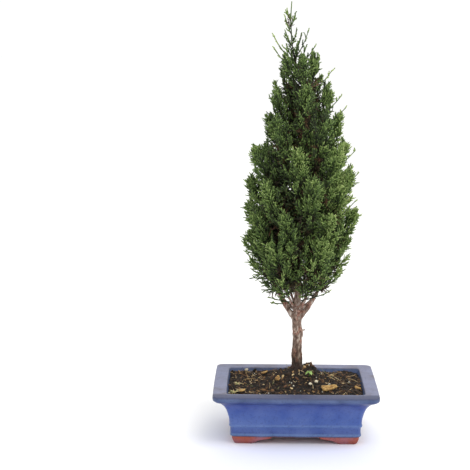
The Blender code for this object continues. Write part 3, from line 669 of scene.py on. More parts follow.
# Two weeds just up, and a clod of black compost at the back.
SPROUTS = np.array([(-0.07, -0.012), (-0.074, -0.044)])
NEEDLES = 11
count = NEEDLES * len(SPROUTS)
turn = np.arange(count) * 2 * np.pi / NEEDLES + litter_dice.normal(0, 0.25, count)
rise = litter_dice.uniform(0.1, 0.9, count)
way = unit(raised(spoke(turn), rise))
hearts = np.repeat(np.c_[SPROUTS, heap(SPROUTS) + 0.0016], NEEDLES, axis=0)
bend = np.tile((0, 0, -0.22), (count, 1))
lines = centre_lines(hearts, way, litter_dice.uniform(0.0045, 0.0085, count), bend, 5)
radii = 0.00052 * np.array([0.7, 1, 0.95, 0.7, 0.3]) * np.ones((count, 1))
kinds = litter_dice.choice([0.76, 0.82], count)
litter_shoots("sprouts", lines, radii, 5, litter_dice.uniform(0.5, 1, count), kinds)

CLOD = np.array([-0.05, 0.05])
count = 26
plan = CLOD + litter_dice.normal(0, 0.0022, (count, 2))
rise = 0.0048 * np.exp(-(((plan - CLOD) / 0.0024) ** 2).sum(-1))
sizes = litter_dice.uniform(0.0009, 0.0019, (count, 3))
bits("clod", BALL, [BALL_FACES], sizes, np.c_[plan, heap(plan) + rise], None, 0.05, 0.3)

# ---- bark chips, perlite and seedling
# The five larger flakes of bark, three grains of expanded perlite and one weed seedling, each in
# the place of its plain solid.

CHIP_STEPS = 16
GRAIN_RINGS = 14


def rows_of(items, key):
    """What each of a mesh's items has under a key, as rows of three numbers."""
    rows = np.empty(len(items) * 3)
    items.foreach_get(key, rows)
    return rows.reshape(-1, 3)


def node_points(name):
    """A node's corners, as rows of x, y and z."""
    return rows_of(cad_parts[name].data.vertices, "co")


def lying(name):
    """The middle of a node, its three axes from longest to thinnest, and its half sizes along them."""
    points = node_points(name)
    middle = (points.min(0) + points.max(0)) / 2
    axes = np.linalg.svd(points - points.mean(0), full_matrices=False)[2]
    axes[2] *= np.sign(axes[2, 2])
    axes[1] = np.cross(axes[2], axes[0])
    along = (points - middle) @ axes.T
    return middle, axes, (along.max(0) - along.min(0)) / 2


def pillow(steps, power):
    """A closed rounded block as rings from one end to the other: a superellipse across, ends drawn in."""
    share = np.linspace(-1, 1, steps)[1:-1, None]
    girth = (1 - np.abs(share) ** power) ** (1 / power)
    angle = np.linspace(0, 2 * np.pi, 2 * steps + 1)[None, :-1]
    y = np.sign(np.cos(angle)) * np.abs(np.cos(angle)) ** 0.7
    z = np.sign(np.sin(angle)) * np.abs(np.sin(angle)) ** 0.55
    return np.stack((np.broadcast_to(share, girth.shape) + 0 * y, girth * y, girth * z), -1)


def chip_material():
    """Old bark: tan, with darker grain along it and darker brown blotches."""
    made, tree, shader = new_material("bark_flake", 0.85)
    grain, _ = mottle(tree, object_place(tree, (0.5, 1.0, 2.0)), 0.0016, 3.0)
    blotch, _ = mottle(tree, object_place(tree), 0.006, 2.4)
    rows = ((0, 96, 66, 36), (0.4, 158, 120, 66), (0.75, 196, 160, 96), (1, 222, 196, 136))
    shade = mixed(tree, blotch, (0.62, 0.58, 0.52), 1)
    painted(tree, shader, mixed(tree, 1.0, colour_ramp(tree, grain, tones(rows)), shade, "MULTIPLY"))
    bumped(tree, shader, grain, 0.5, 0.0004)
    return made


def stand_in(name, ending, local, finish):
    """A shape, given from -1 to 1, in the place of a node's plain solid."""
    middle, axes, half = lying(name)
    points = middle + (local * half) @ axes
    piece = add_piece(f"{name}_{ending}", points, tube_faces(*points.shape[:2]), finish)
    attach(piece, "root")
    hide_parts(name)
    return piece


def chip_shape(seed):
    """A worn flake: a rounded block, bent, tapered to one end and made lumpy by noise."""
    local = pillow(CHIP_STEPS, 4)
    taper = 1 - 0.3 * local[..., :1] - 0.25 * local[..., :1] ** 2
    local = local * np.concatenate((np.ones_like(taper), taper, 0.6 + 0.4 * taper), -1)
    local[..., 2] += 0.5 * local[..., 0] ** 2 - 0.2
    return local * (1 + 0.1 * rough(local + seed, 0.45, seed)[..., None])


def grain_shape(seed):
    """Expanded perlite: a ball with dents."""
    local = pillow(GRAIN_RINGS, 2.0)
    return local * (1 + 0.26 * rough(local, 0.5, seed) + 0.08 * rough(local, 0.16, seed + 1))[..., None]


BARK_CHIP = chip_material()
PERLITE = dull_material("perlite", (176, 164, 138), (226, 217, 194), 0.0011, 0.95)
for seed, chip in enumerate(("large", "right", "middle", "left", "rear"), 40):
    shade_by_angle(stand_in(f"bark_chip_{chip}", "worn", chip_shape(seed), BARK_CHIP), 50)
for seed, grain in enumerate(("rear", "right", "middle"), 50):
    stand_in(f"perlite_{grain}", "popped", grain_shape(seed), PERLITE)

LEAF_ANGLES = np.radians((10, 82, 150, 214, 296, 40, 190))
LEAF_LENGTHS = np.array((0.0056, 0.005, 0.0058, 0.0056, 0.0062, 0.0044, 0.004))


def merged(shapes):
    """Several shapes' points and faces as one set."""
    points, faces, offset = [], [], 0
    for some_points, some_faces in shapes:
        points.append(some_points)
        faces += [each + offset for each in some_faces]
        offset += len(some_points)
    return np.concatenate(points), faces


def build_seedling():
    """A thin stem, and leaves as pointed blades folded along their midribs, that rise and then droop."""
    low, high = (np.array(corner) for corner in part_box("seedling"))
    foot = np.array([*(low + high)[:2] / 2, low[2]])
    along = np.linspace(0, 1, 9)[None, :, None]
    y = (0.32 * np.sin(np.pi * along**0.8) + 0.02) * np.linspace(-1, 1, 5)
    z = 0.35 * along - 0.75 * along**2 + 0.3 * np.abs(y)
    blade = np.stack(np.broadcast_arrays(along, y, z), -1)
    sheet = np.concatenate((blade, (blade - (0, 0, 0.05))[:, :, ::-1]), 2)
    x, y, z = np.moveaxis(sheet * LEAF_LENGTHS[:, None, None, None], -1, 0)
    turn = LEAF_ANGLES[:, None, None]
    leaves = np.stack((x * np.cos(turn) - y * np.sin(turn), x * np.sin(turn) + y * np.cos(turn), z), -1)
    count = len(LEAF_ANGLES)
    rise = np.array([0, 0, 0.0042]) + np.arange(count)[:, None] * (0, 0, 0.0003)
    leaves += foot + rise[:, None, None]
    leaf_faces = [repeated(each, count, 90) for each in tube_faces(9, 10)]
    stem = centre_lines(foot[None], np.array([(0.05, 0, 1)]), np.full(1, 0.0062), np.array([(0, 0.02, 0)]), 4)
    shapes = (leaves.reshape(-1, 3), leaf_faces), round_shoots(stem, np.full((1, 4), 0.00045), 6)
    tone = np.linspace(0.1, 0.9, count)[:, None, None] + np.linspace(0, 0.05, 10)
    ripe = np.linspace(0.45, 0.95, 9)[:, None]
    leaf_palette = np.stack(np.broadcast_arrays(tone, ripe), -1).reshape(-1, 2)
    palette = np.r_[leaf_palette, shoot_palette(np.full(1, 0.3), np.full((1, 4), 0.3), 6)]
    finish = palette_material("seedling_leaf", 0.55, (
        (0, 60, 84, 34), (0.5, 96, 136, 58), (1, 146, 178, 92),
    ), (
        (0, 84, 108, 44), (0.5, 120, 160, 76), (1, 178, 202, 124),
    ))
    piece = add_piece("seedling_grown", *merged(shapes), finish, palette)
    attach(piece, "root")
    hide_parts("seedling")


build_seedling()

# ---- trunk, leader and limbs
# One young stem: a bare trunk with flaking grey-brown bark that flares into the soil, forks low into
# two first limbs and the leader, and carries a thin limb to the foot of every spray of foliage.

TRUNK_RADIUS = 0.006
FORK = SOIL_TOP + 0.072
TREE_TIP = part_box("spray_leader")[1][2]
LEADER_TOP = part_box("trunk")[1][2]
LEADER_LEAN = ((0.0, 0.2, 0.4, 0.62, 0.8, 1.0), (0.0, 0.002, 0.004, 0.005, 0.002, -0.0095))
LEADER_SWAY = ((0.0, 0.3, 0.6, 1.0), (0.0, -0.003, -0.001, -0.002))
LEADER_TAPER = ((0.0, 0.03, 0.3, 0.6, 0.78, 1.0), (1.1, 0.72, 0.55, 0.34, 0.2, 0.1))
# The trunk below the fork: height over the soil, shift to the right and back, and radius shares.
TRUNK_ROWS = np.array([
    (-0.015, 0, 0, 0.9), (-0.007, 0, 0, 1.2), (-0.001, 0, 0, 1.22), (0.004, 0.0001, 0, 1.12),
    (0.011, 0.0002, 0, 1.06), (0.019, 0, 0.0003, 1.08), (0.027, 0.0001, 0, 0.99),
    (0.036, 0.0006, -0.0002, 0.96), (0.044, 0.0008, 0, 1.05), (0.052, 0.0002, 0.0003, 0.98),
    (0.061, 0, 0, 1.02), (0.069, 0, 0, 1.16), (0.072, 0, 0, 1.02),
])
SPRAY_NAMES = sorted(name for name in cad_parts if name.startswith("spray_"))


def leader_at(z):
    """The leader's centre line at heights."""
    share = (z - FORK) / (TREE_TIP - FORK)
    x = TREE_FOOT[0] + np.interp(share, *LEADER_LEAN)
    y = TREE_FOOT[1] + np.interp(share, *LEADER_SWAY)
    return np.stack((x, y, z + 0 * x), -1)


def leader_radius(z):
    """The leader's radius at heights, by the shares of its taper."""
    return TRUNK_RADIUS * np.interp((z - FORK) / (TREE_TIP - FORK), *LEADER_TAPER)


def spray_axis(name):
    """A spray's foot, its tip and the way it leans from the leader, measured on its plain solid."""
    points = node_points(name)
    low = points[:, 2].min()
    heart = leader_at(low)
    tip = points[np.argmax(np.linalg.norm(points - heart, axis=1))]
    along = unit(tip - heart)
    reach = (points - heart) @ along
    foot = points[reach < reach.min() + 0.004].mean(0)
    return foot, tip, unit((tip - heart) * (1, 1, 0))


def smooth_line(rows, count):
    """Evenly spaced points along a curve through the rows (Catmull-Rom), radii included."""
    ends = np.r_[2 * rows[:1] - rows[1:2], rows, 2 * rows[-1:] - rows[-2:-1]]
    share = np.linspace(0, len(rows) - 1, count)
    piece = np.minimum(share.astype(int), len(rows) - 2)
    t = (share - piece)[:, None]
    a, b, c, d = (ends[piece + step] for step in range(4))
    return 0.5 * (2 * b + (c - a) * t + (2 * a - 5 * b + 4 * c - d) * t**2 + (3 * b - a - 3 * c + d) * t**3)


def wood_tube(rows, count, sides):
    """A tube along the smooth line through rows of a place and a radius."""
    line = smooth_line(rows, count)[None]
    return round_shoots(line[..., :3], line[..., 3], sides)


def bark_material():
    """Flaking bark: grey-brown plates with pinkish new bark between them, darkening to near black towards the
    soil.
    """
    made, tree, shader = new_material("bark", 0.88)
    place = object_place(tree, (1.0, 1.0, 0.45))
    plate, _ = mottle(tree, place, 0.0034, 2.6)
    flake, _ = mottle(tree, place, 0.0012, 3.0)
    patch, _ = mottle(tree, object_place(tree), 0.0075, 4.0)
    rows = ((0, 74, 56, 46), (0.4, 122, 100, 88), (0.7, 162, 144, 130), (1, 206, 194, 184))
    plates = colour_ramp(tree, plate, tones(rows))
    young = colour_ramp(tree, flake, tones(((0, 96, 60, 48), (0.6, 156, 112, 96), (1, 186, 146, 128))))
    mask = colour_ramp(tree, patch, ((0.55, 0), (0.8, 0.8)))
    shade = colour_ramp(tree, flake, ((0, (0.62, 0.6, 0.6)), (0.6, 1)))
    body = mixed(tree, 1.0, mixed(tree, mask, plates, young), shade, "MULTIPLY")
    z = add_node(tree, "ShaderNodeSeparateXYZ", {"Vector": object_place(tree)}).outputs["Z"]
    height = ranged(tree, z, SOIL_TOP - 0.004, FORK)
    # Darker towards the soil, near black at the soil line.
    darker_near_soil = ((0, (0.05, 0.04, 0.04)), (0.16, (0.16, 0.13, 0.11)), (0.3, (0.5, 0.44, 0.38)), (0.5, 1))
    painted(tree, shader, mixed(tree, 1.0, body, colour_ramp(tree, height, darker_near_soil), "MULTIPLY"))
    bumped(tree, shader, flake, 0.5, 0.0006)
    return made


def roughen(piece, layers):
    """Moves each point along its normal by layers of noise: size along and across, height, seed."""
    mesh = piece.data
    points, normals = rows_of(mesh.vertices, "co"), rows_of(mesh.vertex_normals, "vector")
    shift = np.zeros(len(points))
    for size, stretch, height, seed in layers:
        shift += height * rough(points / (1, 1, stretch), size, seed)
    mesh.vertices.foreach_set("co", (points + normals * shift[:, None]).ravel())
    mesh.update()


def build_trunk(finish):
    """Tubes for the trunk, its roots, the leader's foot and the first limbs, joined into one skin and
    then given bark by noise along the normals."""
    soil_line = np.array([*TREE_FOOT, SOIL_TOP])
    rows = TRUNK_ROWS[:, [1, 2, 0, 3]] * (1, 1, 1, TRUNK_RADIUS) + (*soil_line, 0)
    tubes = [wood_tube(rows, 60, 28)]
    heights = np.linspace(FORK - 0.01, FORK + 0.04, 7)
    radii = leader_radius(np.maximum(heights, FORK + 0.008))
    tubes.append(wood_tube(np.c_[leader_at(heights), radii], 24, 20))
    share = np.linspace(0, 1, 6)[:, None]
    radii = np.interp(share, (0, 0.4, 1), (0.004, 0.0031, 0.0024))
    for name, bow in (("spray_low_1", 0.0018), ("spray_low_4", 0.0014)):
        foot, tip, way = spray_axis(name)
        start = leader_at(FORK - 0.011)
        line = start + (foot - start) * share + way * bow * np.sin(np.pi * share)
        line[-1] += 0.006 * unit(tip - foot)
        tubes.append(wood_tube(np.c_[line, radii], 24, 16))
    steps = np.array([0.1, 0.5, 0.8, 1.0])[:, None]
    for angle, reach in ((20, 0.013), (118, 0.01), (205, 0.012), (262, 0.009), (318, 0.014)):
        way = np.array([math.cos(math.radians(angle)), math.sin(math.radians(angle)), 0])
        line = soil_line + way * (0.004 + reach * steps) + np.array([0, 0, 1]) * (0.004 - 0.014 * steps)
        tubes.append(wood_tube(np.c_[line, 0.003 - 0.0016 * steps], 12, 12))
    broken_twig = leader_at(SOIL_TOP + 0.0475) + (0.0, -0.001, 0)
    line = broken_twig + np.linspace(0, 1, 4)[:, None] * (TRUNK_RADIUS + 0.004, 0.0, 0.0022)
    tubes.append(wood_tube(np.c_[line, (0.0017, 0.0013, 0.001, 0.0008)], 10, 10))
    trunk = add_piece("trunk", *merged(tubes), finish)
    skin = trunk.modifiers.new("skin", "REMESH")
    skin.mode = "VOXEL"
    skin.voxel_size = 0.00042
    blend = trunk.modifiers.new("blend", "SMOOTH")
    blend.iterations = 8
    settle(trunk)
    roughen(trunk, ((0.0075, 1.4, 0.00055, 61), (0.0028, 1.8, 0.0004, 62), (0.0013, 2.2, 0.00024, 63)))
    trunk.data.shade_smooth()
    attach(trunk, "root")
    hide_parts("trunk")


def build_limbs(finish):
    """The leader above the fork, and from it a thin bowed limb to the foot of each other spray."""
    heights = np.linspace(FORK + 0.034, LEADER_TOP, 12)
    leader = wood_tube(np.c_[leader_at(heights), leader_radius(heights)], 60, 14)
    axes = [spray_axis(name) for name in SPRAY_NAMES if name != "spray_leader"]
    feet, tips, ways = (np.array(part) for part in zip(*axes))
    lead = np.where(feet[:, 2] < FORK + 0.035, 0.02, 0.013)
    starts = leader_at(np.maximum(feet[:, 2] - lead, FORK - 0.006))
    share = np.linspace(0, 1, 10)[None, :, None]
    lines = starts[:, None] + (feet + 0.004 * unit(tips - feet) - starts)[:, None] * share
    lines = lines + ways[:, None] * 0.0022 * np.sin(np.pi * share)
    lines += 0.0007 * np.stack([rough(lines, 0.012, seed) for seed in (71, 72, 73)], -1)
    radii = 0.0017 * (1 - 0.5 * (feet[:, 2:] - FORK) / (TREE_TIP - FORK)) * np.linspace(1.2, 0.75, 10)
    limbs = add_piece("limbs", *merged((leader, round_shoots(lines, radii, 10))), finish)
    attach(limbs, "root")


BARK = bark_material()
build_trunk(BARK)
build_limbs(BARK)

# ---- foliage
# Each spray is a plume of fine scale-leaved shoots: a stem, its side branches, their branchlets and
# twiglets, with old brown twigs behind them. Colours come from a palette in UV, ripe green at tips.

GOLDEN_TURN = 2.39996
SHOOT_SIDES = 4
CELL_MARGIN = 0.0032  # how far every shoot may pass the outline of its spray
OVERSHOOT = 0.003  # how much further it goes, on average
FURTHEST = 0.0095  # and at most
UPWARD = 0.0045  # how much further shoots that point straight up may go
# Where the crown differs: a place in it, how far that reaches, and how much riper or browner it is.
PATCHES = np.array([
    (-0.018, -0.04, 0.285, 0.026, -0.12), (0.028, -0.03, 0.392, 0.012, -0.34),
    (0.024, -0.046, 0.322, 0.013, -0.34), (0.016, -0.056, 0.262, 0.014, -0.3),
    (0.02, -0.052, 0.205, 0.018, -0.12), (-0.024, -0.04, 0.225, 0.013, -0.16),
    (-0.003, -0.06, 0.352, 0.012, 0.14), (-0.002, -0.062, 0.232, 0.012, 0.16),
    (0.046, -0.02, 0.31, 0.034, 0.12), (-0.052, -0.01, 0.24, 0.02, 0.06),
])
# Shoots that stand clear of the sprays, in millimetres: the height at which each leaves the leader,
# and then how far its tip is to the right, forward and up from there.
CLEAR_SHOOTS = np.array([
    (442, -29, 3, 30), (452, -27.5, -2, 34.5), (447, -14, 6, 24), (474, -8, -1, 15),
    (489, -6.2, 1, 17), (450, 20.5, -2, 23), (460, 15, 1, 30), (464, 8.5, -3, 22), (476, 5, 1, 16),
    (498, 4.8, -1, 11), (504, -4, 1, 10), (442, 11, -8, 20), (440, -5, -10, 18), (440, 4, 11, 20),
    (438, -10, -5, 16), (436, 16, 6, 18), (456, 2, -8, 17), (442, 7, 5, 19), (448, -7, 4, 18),
    (452, 10, 3, 19), (454, -11, 0, 20), (460, 3, 6, 15), (464, -6, -4, 16), (436, 23, 0, 23),
    (412, 35, 2, 34), (378, 44, 0, 36), (366, 51, -4, 35), (304, 64, 3, 47), (274, 70, -2, 50),
    (240, 67, 2, 50), (200, -70, 4, 40), (262, -61, -2, 38), (162, -33, 8, 8), (160, -30, 2, 2),
    (164, 38, 4, 13),
]) / 1000
HEART_SHOOTS = 125
LEADER_BARE = 0.425  # the height from which the leader stands nearly bare
# The crown's radius at shares of the way from the fork to the tip.
CROWN_RADII = ((0, 0.1, 0.25, 0.45, 0.7, 0.85, 1), (0.025, 0.042, 0.06, 0.062, 0.042, 0.022, 0.008))


def cell_planes(name):
    """The outward normals and offsets of the flat faces of a convex node."""
    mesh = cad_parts[name].data
    normals = rows_of(mesh.polygons, "normal")
    return normals, (normals * rows_of(mesh.polygons, "center")).sum(1)


def room(planes, starts, ways, margin):
    """How far each ray runs before it leaves the cell by the margin."""
    normals, offsets = planes
    closing = ways @ normals.T
    gap = offsets + margin + UPWARD * ways[:, 2:].clip(0, None) - starts @ normals.T
    return np.where(closing > 0.02, gap / np.maximum(closing, 0.02), 1.0).min(1).clip(0, None)


def offshoots(dice, lines, per_line, span, angles, turns):
    """Starts and ways of shoots that leave each line at even shares of it, at an angle from it and
    at a turn round it. Also gives each one's share along its parent and its parent's number."""
    count, stations = lines.shape[:2]
    share = np.linspace(*span, per_line)[None] + dice.uniform(-0.4, 0.4, (count, per_line)) / per_line
    share = share.clip(0.02, 0.99)
    spot = share * (stations - 1)
    low = np.minimum(spot.astype(int), stations - 2)
    parent = np.repeat(np.arange(count)[:, None], per_line, 1)
    first, following = lines[parent, low], lines[parent, low + 1]
    starts = first + (following - first) * (spot - low)[..., None]
    along = unit(following - first)
    across = unit(np.cross(along, (0.13, 0.31, 0.94)))
    other = np.cross(along, across)
    turn, angle = turns[..., None], angles[..., None]
    side = across * np.cos(turn) + other * np.sin(turn)
    ways = along * np.cos(angle) + side * np.sin(angle)
    return starts.reshape(-1, 3), unit(ways).reshape(-1, 3), share.ravel(), parent.ravel()


def ripening_and_painted_light(places):
    """How much riper shoots are at places: less in brown patches, and more towards the right, as yellower
    growth there and as painted light from the lamp on the right.
    """
    gaps = np.linalg.norm(places[:, None] - PATCHES[None, :, :3], axis=2) / PATCHES[:, 3]
    # The rise with x is partly painted light from the lamp on the right, partly yellower growth.
    change = (PATCHES[:, 4] * np.exp(-(gaps**2))).sum(1) + 1.0 * places[:, 0]
    return change + 0.1 * rough(places, 0.016, 81)


def depth_share(places):
    """0 at the leader and 1 at the crown's outline."""
    aside = np.linalg.norm((places - leader_at(places[:, 2]))[:, :2], axis=1)
    up = ((places[:, 2] - FORK) / (TREE_TIP - FORK)).clip(0, 1)
    reach = np.interp(up, *CROWN_RADII)
    return (aside / reach).clip(0, 1.2)


def in_crevice(places):
    """A narrow upright gap between the left limb's foliage and the rest."""
    x, y, z = places.T
    middle = -0.0235 - 0.1 * (z - 0.235)
    return (np.abs(x - middle) < 0.0026) & (y < 0.012) & (z > 0.2) & (z < 0.268)


def side_branches(dice, stem, planes, outward, outside, habit):
    """A spray's branches in a spiral up its stem, steep at its tip. Each runs to the cell's outline."""
    length = np.linalg.norm(stem[0, -1] - stem[0, 0])
    count = int(length / habit["gap"])
    turns = (np.arange(count) * GOLDEN_TURN)[None] + dice.uniform(0, TURN)
    angles = np.radians(np.linspace(50, 16, count) + dice.normal(0, 5, count))[None]
    starts, ways, share, _ = offshoots(dice, stem, count, (0.02, 0.98), angles, turns)
    ways = unit(ways + 0.15 * outward + (0, 0, 0.1))
    free = room(planes, starts, ways, outside) + dice.exponential(OVERSHOOT, count).clip(0, FURTHEST)
    reach = np.minimum(free, habit["branch"] * (1 - 0.5 * share)) * dice.uniform(0.8, 1.0, count)
    bend = np.array([0, 0, 0.2]) - 0.1 * ways
    return centre_lines(starts, ways, reach.clip(0.005, None), bend, 8), share


def tip_line(z):
    """The leader's centre line, its top drawn straight over the crown."""
    share = ((z - LEADER_BARE) / (TREE_TIP - LEADER_BARE)).clip(0, 1)
    return leader_at(z) - 0.007 * np.sin(np.pi * share)[:, None] * (1, 0, 0)


def leader_branches():
    """The leader's branches, each bowed up to its own tip: those that stand clear, and short ones in
    a spiral that fill the heart of the crown."""
    turn = np.arange(HEART_SHOOTS) * GOLDEN_TURN
    heights = np.linspace(0.195, 0.445, HEART_SHOOTS)
    reach = np.linspace(0.034, 0.017, HEART_SHOOTS)
    heart = np.stack((heights, reach * np.cos(turn), reach * np.sin(turn), 0.8 * reach), -1)
    rows = np.r_[CLEAR_SHOOTS, heart]
    starts = tip_line(rows[:, 0])
    across = rows[:, 1:] * (1, -1, 0)
    up = rows[:, 1:] * (0, 0, 1)
    length = np.linalg.norm(rows[:, 1:], axis=1)
    ways = (1.25 * across + 0.8 * up) / length[:, None]
    bend = (0.2 * up - 0.25 * across) / length[:, None]
    return centre_lines(starts, ways, length, bend, 8), np.linspace(0.4, 0.6, len(length))


def old_twigs(dice, stem, outward, count):
    """Dead twigs with short bits on them, from the lower two thirds of the stem."""
    angles, turns = np.radians(dice.uniform(50, 130, (1, count))), dice.uniform(0, TURN, (1, count))
    starts, ways, _, _ = offshoots(dice, stem, count, (0.1, 0.65), angles, turns)
    ways = unit(ways - 0.3 * outward + (0, 0, 0.3))
    twigs = centre_lines(starts, ways, dice.uniform(0.006, 0.015, count), dice.normal(0, 0.2, (count, 3)), 5)
    dead = dice.uniform(0.02, 0.3, count)
    levels = [(twigs, np.full((count, 5), 0.0005), dice.random(count), dead[:, None] * np.ones(5))]
    each = 8
    angles = np.radians(dice.normal(50, 10, (count, each)))
    turns = dice.uniform(0, TURN, (count, each))
    starts, ways, _, parent = offshoots(dice, twigs, each, (0.1, 0.98), angles, turns)
    count *= each
    twigs = centre_lines(starts, ways, dice.uniform(0.003, 0.007, count), 0.1 * ways, 3)
    dead = dead[parent, None] * np.ones(3)
    levels.append((twigs, np.full((count, 3), 0.00045), dice.random(count), dead))
    return levels


def plume(name, seed, habit):
    """Points, faces and palette places of one spray, grown inside its cell."""
    dice = np.random.default_rng(seed)
    planes = cell_planes(name)
    foot, tip, _ = spray_axis(name)
    outward = unit((tip - foot) * (1, 1, 0))
    young = ((tip[2] - FORK) / (TREE_TIP - FORK)) ** 2
    if habit is LEADER_PLUME:
        stem = tip_line(np.linspace(foot[2], TREE_TIP, 12))[None]
        branches, share = leader_branches()
        outside = 0.05
    else:
        length = np.array([np.linalg.norm(tip - foot)])
        stem = centre_lines(foot[None], unit(tip - foot)[None], length, -0.03 * outward[None], 12)
        outside = CELL_MARGIN * (1 - 3.0 * young)
        branches, share = side_branches(dice, stem, planes, outward, outside, habit)
    stem = stem + 0.0008 * np.stack([rough(stem, 0.014, seed + 300 + axis) for axis in range(3)], -1)
    ripe = np.linspace(0.04, habit["age"] + 0.36, 12)
    levels = [(stem, np.linspace(0.0013, 0.0006, 12)[None], np.full(1, 0.3), ripe[None])]
    count = len(branches)
    tone = dice.random(count)
    age = habit["age"] + 0.22 * share
    levels.append((branches, habit["wood"] * np.linspace(1, 0.6, 8) * np.ones((count, 1)), tone,
                   age[:, None] * np.linspace(0.4, 1.4, 8)))

    each = habit["branchlets"]
    count_2 = count * each
    side = np.where(np.arange(each) % 2, 1.0, 0.0) * np.pi
    turns = side[None] + dice.uniform(0, TURN, (count, 1)) + dice.normal(0, 0.5, (count, each))
    angles = np.radians(np.linspace(42, 16, each)[None] + dice.normal(0, 7, (count, each)))
    starts, ways, share, parent = offshoots(dice, branches, each, (0.1, 0.99), angles, turns)
    ways = unit(ways + (0, 0, 0.14) + 0.14 * outward)
    past = (1 - 0.6 * young) * dice.exponential(OVERSHOOT, count_2).clip(0, FURTHEST)
    free = room(planes, starts, ways, outside) + past
    longest = (1 - 0.3 * young) * habit["branchlet"] * (1 - 0.25 * share) * dice.uniform(0.6, 1.3, count_2)
    reach_2 = np.minimum(free, longest).clip(0.0035, None)
    bend = dice.normal(0, 0.05, (count_2, 3)) + np.array([0, 0, 0.08])
    branchlets = centre_lines(starts, ways, reach_2, bend, 5)
    ends = branchlets[:, -1]
    kept = ~in_crevice(ends)
    tone_2 = (tone[parent] + dice.normal(0, 0.26, count_2)).clip(0, 1)
    girth = habit["girth"] * np.array([0.9, 1, 1, 0.95, 0.5]) * np.ones((count_2, 1))
    ripe = habit["ripe"] + 0.3 * depth_share(ends) ** 2 + ripening_and_painted_light(ends) + dice.normal(0, 0.05, count_2)
    shade = ripe[:, None] + np.array([-0.16, -0.08, 0.0, 0.08, 0.18])
    levels.append((branchlets[kept], girth[kept], tone_2[kept], shade[kept]))

    each = habit["twiglets"]
    count_3 = count_2 * each
    turns = (np.arange(each) * np.pi)[None] + dice.uniform(0, TURN, (count_2, 1))
    turns = turns + dice.normal(0, 0.6, (count_2, each))
    angles = np.radians(dice.normal(32, 7, (count_2, each)))
    starts, ways, share, parent = offshoots(dice, branchlets, each, (0.1, 0.95), angles, turns)
    longest = (1 - 0.4 * young) * habit["twiglet"] * (1 - 0.3 * share) * dice.uniform(0.5, 1.35, count_3)
    reach_3 = np.minimum(longest, 0.7 * reach_2[parent] + 0.001).clip(0.0015, None)
    twiglets = centre_lines(starts, ways, reach_3, np.array([0, 0, 0.05]) - 0.02 * ways, 3)
    kept = ~in_crevice(twiglets[:, -1])
    girth = habit["girth"] * np.array([0.75, 1.0, 0.5]) * dice.uniform(0.8, 1.15, (count_3, 1))
    tone_3 = (tone_2[parent] + dice.normal(0, 0.26, count_3)).clip(0, 1)
    ripe_3 = (ripe[parent] + dice.normal(0.0, 0.08, count_3))[:, None] + np.array([-0.2, 0.04, 0.28])
    levels.append((twiglets[kept], girth[kept], tone_3[kept], ripe_3[kept]))
    levels += old_twigs(dice, stem, outward, habit["old"])

    shapes = [round_shoots(lines, radii, SHOOT_SIDES) for lines, radii, _, _ in levels]
    palettes = [shoot_palette(0.94 * tone, ripe, SHOOT_SIDES) for _, _, tone, ripe in levels]
    return *merged(shapes), np.concatenate(palettes)


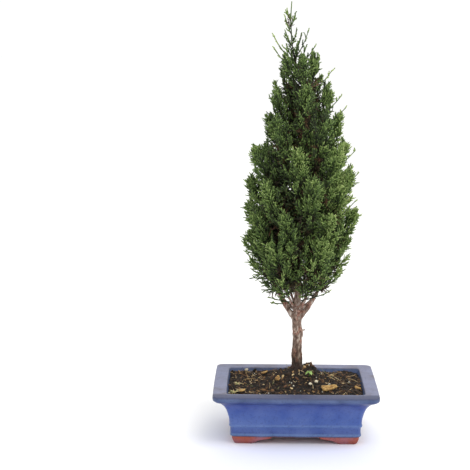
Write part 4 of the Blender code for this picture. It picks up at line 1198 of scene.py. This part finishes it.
FULL_PLUME = {"gap": 0.0046, "branch": 0.036, "branchlets": 8, "branchlet": 0.015, "twiglets": 6,
              "twiglet": 0.0078, "girth": 0.00074, "old": 30, "ripe": 0.28, "wood": 0.0008, "age": 0.24}
LEADER_PLUME = {"branchlets": 7, "branchlet": 0.0095, "twiglets": 3, "twiglet": 0.0036,
                "girth": 0.00078, "old": 2, "ripe": 0.46, "wood": 0.0009, "age": 0.36}
FOLIAGE = palette_material("foliage", 0.68, (
    (0, 46, 30, 18), (0.14, 40, 32, 18), (0.26, 16, 22, 7), (0.42, 31, 44, 16), (0.58, 54, 76, 28),
    (0.76, 84, 110, 46), (1, 132, 154, 82),
), (
    (0, 112, 76, 48), (0.14, 86, 66, 38), (0.26, 34, 45, 20), (0.42, 56, 74, 31), (0.58, 84, 108, 48),
    (0.76, 118, 142, 70), (1, 168, 184, 114),
))
for seed, spray in enumerate(SPRAY_NAMES, 100):
    habit = LEADER_PLUME if spray == "spray_leader" else FULL_PLUME
    plume_points, plume_faces, palette = plume(spray, seed, habit)
    grown = add_piece(f"{spray}_grown", plume_points, plume_faces, FOLIAGE, palette)
    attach(grown, "root")
    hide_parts(spray)

# ---- floor, light and camera
# A plain pale floor under an even white sky, with one broad soft lamp high on the right.

FLOOR_SIZE = 40.0


def build_floor():
    """A wide square with a darker, cool painted shadow in front of and under the pot, and white elsewhere."""
    made, tree, shader = new_material("pale_floor", 0.8)
    inputs = {"Vector": object_place(tree), "Location": (0, 0.13, 0), "Scale": (0.7, 1, 1)}
    place = add_node(tree, "ShaderNodeMapping", inputs).outputs["Vector"]
    away = add_node(tree, "ShaderNodeVectorMath", {0: place}, operation="LENGTH").outputs["Value"]
    far = ranged(tree, away, 0.05, 0.17, "SMOOTHSTEP")
    blotch, _ = mottle(tree, object_place(tree), 0.07, 1.0)
    # The darker bluish colours near the pot are painted shadow.
    near = mixed(tree, blotch, (0.77, 0.79, 0.93), (0.81, 0.83, 0.95))
    painted(tree, shader, mixed(tree, far, near, 0.98))
    corners = np.array([(-1, -1, 0), (1, -1, 0), (1, 1, 0), (-1, 1, 0)]) * FLOOR_SIZE / 2
    return add_piece("floor", corners, [np.array([(0, 1, 2, 3)])], made)


build_floor()
world = bpy.data.worlds.new("white_sky")
bpy.context.scene.world = world
world.use_nodes = True
world.node_tree.nodes["Background"].inputs["Color"].default_value = (1.0, 1.0, 1.0, 1.0)
world.node_tree.nodes["Background"].inputs["Strength"].default_value = 1.04
bpy.context.scene.view_settings.view_transform = "Standard"

lamp = bpy.data.objects.new("key", bpy.data.lights.new("key", "AREA"))
bpy.context.scene.collection.objects.link(lamp)
lamp.data.energy = 32
lamp.data.size = 1.5
lamp.data.color = (1.0, 0.99, 0.95)
lamp.location = (0.9, -1.0, 2.2)
aim = Vector((0, 0, 0.2)) - lamp.location
lamp.rotation_euler = aim.to_track_quat("-Z", "Y").to_euler()

camera = bpy.data.objects.new("camera", bpy.data.cameras.new("camera"))
bpy.context.scene.collection.objects.link(camera)
camera.data.sensor_width = 36
camera.data.lens = 93.5
camera.location = (-0.035, -1.463, 0.4968)
camera.rotation_euler = (math.radians(90 - 9.67), 0, math.radians(1.54))
bpy.context.scene.camera = camera
